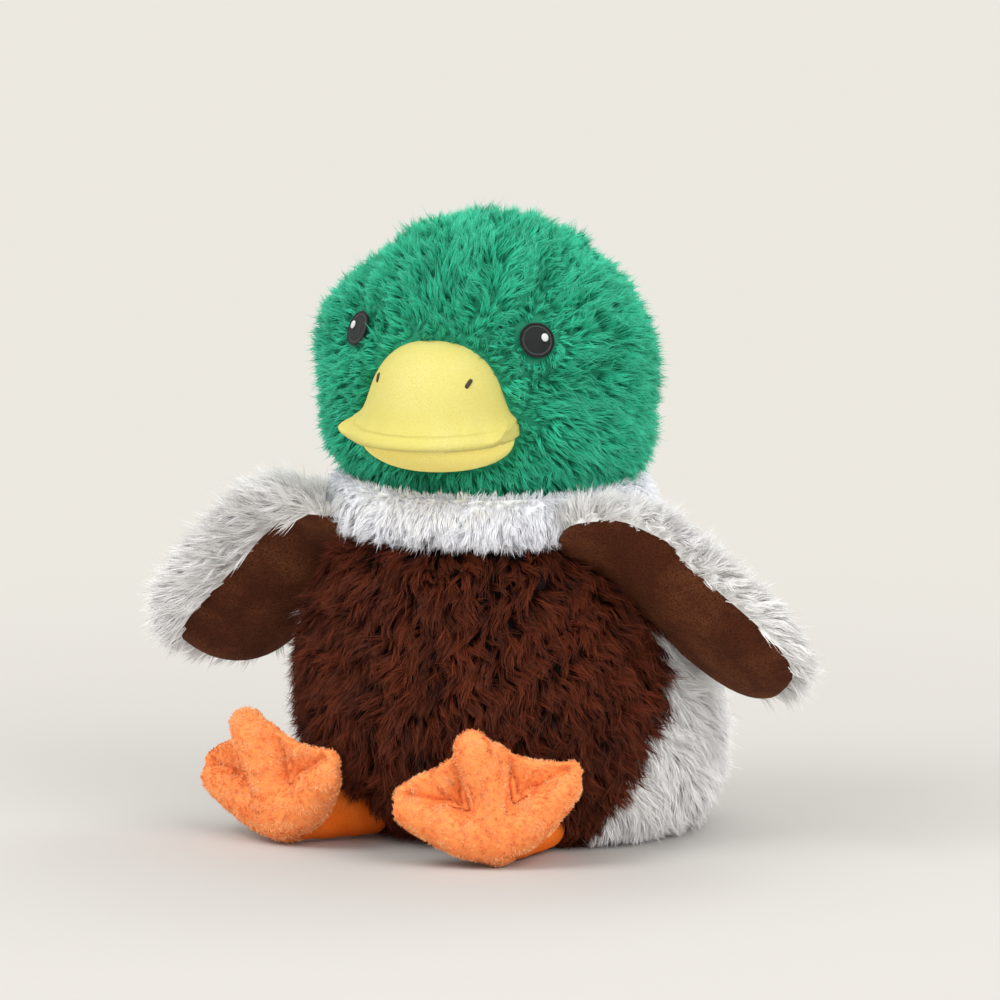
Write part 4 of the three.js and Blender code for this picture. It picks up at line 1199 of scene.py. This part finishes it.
def head_open(roots):
    """Leaves out what the eyes and the bill cover, and the neck inside the band."""
    far, _ = eye_distance(roots)
    kept = (far > eye_radius + 0.0003) & (roots[:, 2] > neck_inside_height)
    for i in np.flatnonzero(kept):
        out = Vector(roots[i] - np.array(head_centre)).normalized()
        hits = [tree.ray_cast(Vector(roots[i]) + out * 0.0005, out, 0.08) for tree in bill_trees]
        hits = [hit for hit in hits if hit[0] is not None]
        if hits and min(hits, key=lambda hit: hit[3])[1].dot(out) > 0:
            kept[i] = False
    return kept


def head_comb(roots, normals):
    """The pile lies away from the bill and the eyes, back over the head, and down at the cheeks and the neck."""
    from_bill = unit(roots - bill_middle)
    far, away = eye_distance(roots)
    near_eye = np.exp(-((far - eye_radius) / 0.006) ** 2)[:, None]
    at_neck = np.clip((0.196 - roots[:, 2:]) / 0.02, 0, 1)
    return (from_bill * 0.8 * (1 - near_eye) + away * 1.1 * near_eye + np.array((0, 0.25, -0.35))
            + at_neck * np.array((0, 0, -0.8)))


def head_length(roots, normals):
    """Trimmed short round the eyes and at the bill, drawn in along the seams, and longer over the neck band."""
    far, _ = eye_distance(roots)
    by_eye = np.clip((far - eye_radius) / 0.010, 0, 1)
    by_bill = np.clip((np.linalg.norm((roots - bill_middle) / (1.1, 1, 1), axis=1) - 0.040) / 0.022, 0, 1)
    by_seam = 1 - seam_draw_in * np.exp(-(((np.abs(roots[:, 0]) - panel_half_width) / 0.0042) ** 2))
    at_neck = 1 + neck_gain * np.clip((0.190 - roots[:, 2]) / 0.012, 0, 1)
    return head_pile * at_neck * by_seam * np.minimum(0.42 + 0.58 * by_eye, 0.62 + 0.38 * by_bill)


green_pile = pile("green_pile", green_root_shade, green_tip_highlight, green_dull, green_bright)
for part, node, seed in ((head, "head_centre_panel", 41), (side_left, "head_panel_left", 42),
                         (side_right, "head_panel_right", 43)):
    map_backing(part)
    grow_pile(part, seed, locks_per_cm2=20, hairs=8, length=head_length, width=0.00046, comb=head_comb, lean=0.50,
              spread=0.0015, clump=0.60, keep=head_open, pressed_by=bill_pieces, swirl=0.75, swirl_wave=0.013,
              wild=0.5)
    part.data.materials.append(green_pile)
    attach(part, "head")
    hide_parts(node)

# ---------------------------------------------------------------- fillings
# Loose polyester fibre fills every piece, and a cotton bag of grain lies low in the body. They are out of sight, so
# the solids stay as they are and get their cloth.

fibre_dark, fibre_light = (0.66, 0.65, 0.61, 1), (0.90, 0.89, 0.86, 1)
cotton_dark, cotton_light = (0.42, 0.36, 0.26, 1), (0.76, 0.69, 0.55, 1)


def colour_by(nodes, links, shader, value, low, high):
    """Colours a surface from one colour to another by a pattern. Each end is its place and its colour."""
    ramp = nodes.new("ShaderNodeValToRGB")
    for end, (position, colour) in zip(ramp.color_ramp.elements, (low, high)):
        end.position, end.color = position, colour
    links.new(value, ramp.inputs["Fac"])
    links.new(ramp.outputs["Color"], shader.inputs["Base Color"])


def combine(nodes, links, operation, first, second):
    """Adds or multiplies two patterns."""
    found = nodes.new("ShaderNodeMath")
    found.operation = operation
    links.new(first, found.inputs[0])
    links.new(second, found.inputs[1])
    return found.outputs[0]


# Matted white fibre: fine tangled strands over soft clouds.
fibre, nodes, links, shader = new_material("polyester_fibre")
place = nodes.new("ShaderNodeTexCoord")
strands, clouds = nodes.new("ShaderNodeTexNoise"), nodes.new("ShaderNodeTexNoise")
set_inputs(strands, Scale=900, Distortion=2.5)
set_inputs(clouds, Scale=60, Detail=4)
for texture in (strands, clouds):
    links.new(place.outputs["Object"], texture.inputs["Vector"])
half = nodes.new("ShaderNodeMath")
half.operation = "MULTIPLY"
half.inputs[1].default_value = 0.5
links.new(combine(nodes, links, "ADD", strands.outputs["Fac"], clouds.outputs["Fac"]), half.inputs[0])
colour_by(nodes, links, shader, half.outputs[0], (0.3, fibre_dark), (0.7, fibre_light))
add_bump(nodes, links, shader, half.outputs[0], 0.7, 0.001)
set_inputs(shader, Roughness=0.95)

# Plain woven cotton: two sets of threads that cross, with slubs.
cotton, nodes, links, shader = new_material("woven_cotton")
place = nodes.new("ShaderNodeTexCoord")
threads = []
for direction in ("X", "Z"):
    wave = nodes.new("ShaderNodeTexWave")
    wave.bands_direction = direction
    set_inputs(wave, Scale=420, Distortion=0.8, Detail=2)
    links.new(place.outputs["Object"], wave.inputs["Vector"])
    threads.append(wave.outputs["Fac"])
weave = combine(nodes, links, "MULTIPLY", *threads)
colour_by(nodes, links, shader, weave, (0.0, cotton_dark), (0.6, cotton_light))
add_bump(nodes, links, shader, weave, 0.5, 0.0005)
set_inputs(shader, Roughness=0.9)

for name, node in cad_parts.items():
    if "stuffing" in name or name == "grain_pouch":
        node.data.materials.clear()
        node.data.materials.append(cotton if name == "grain_pouch" else fibre)
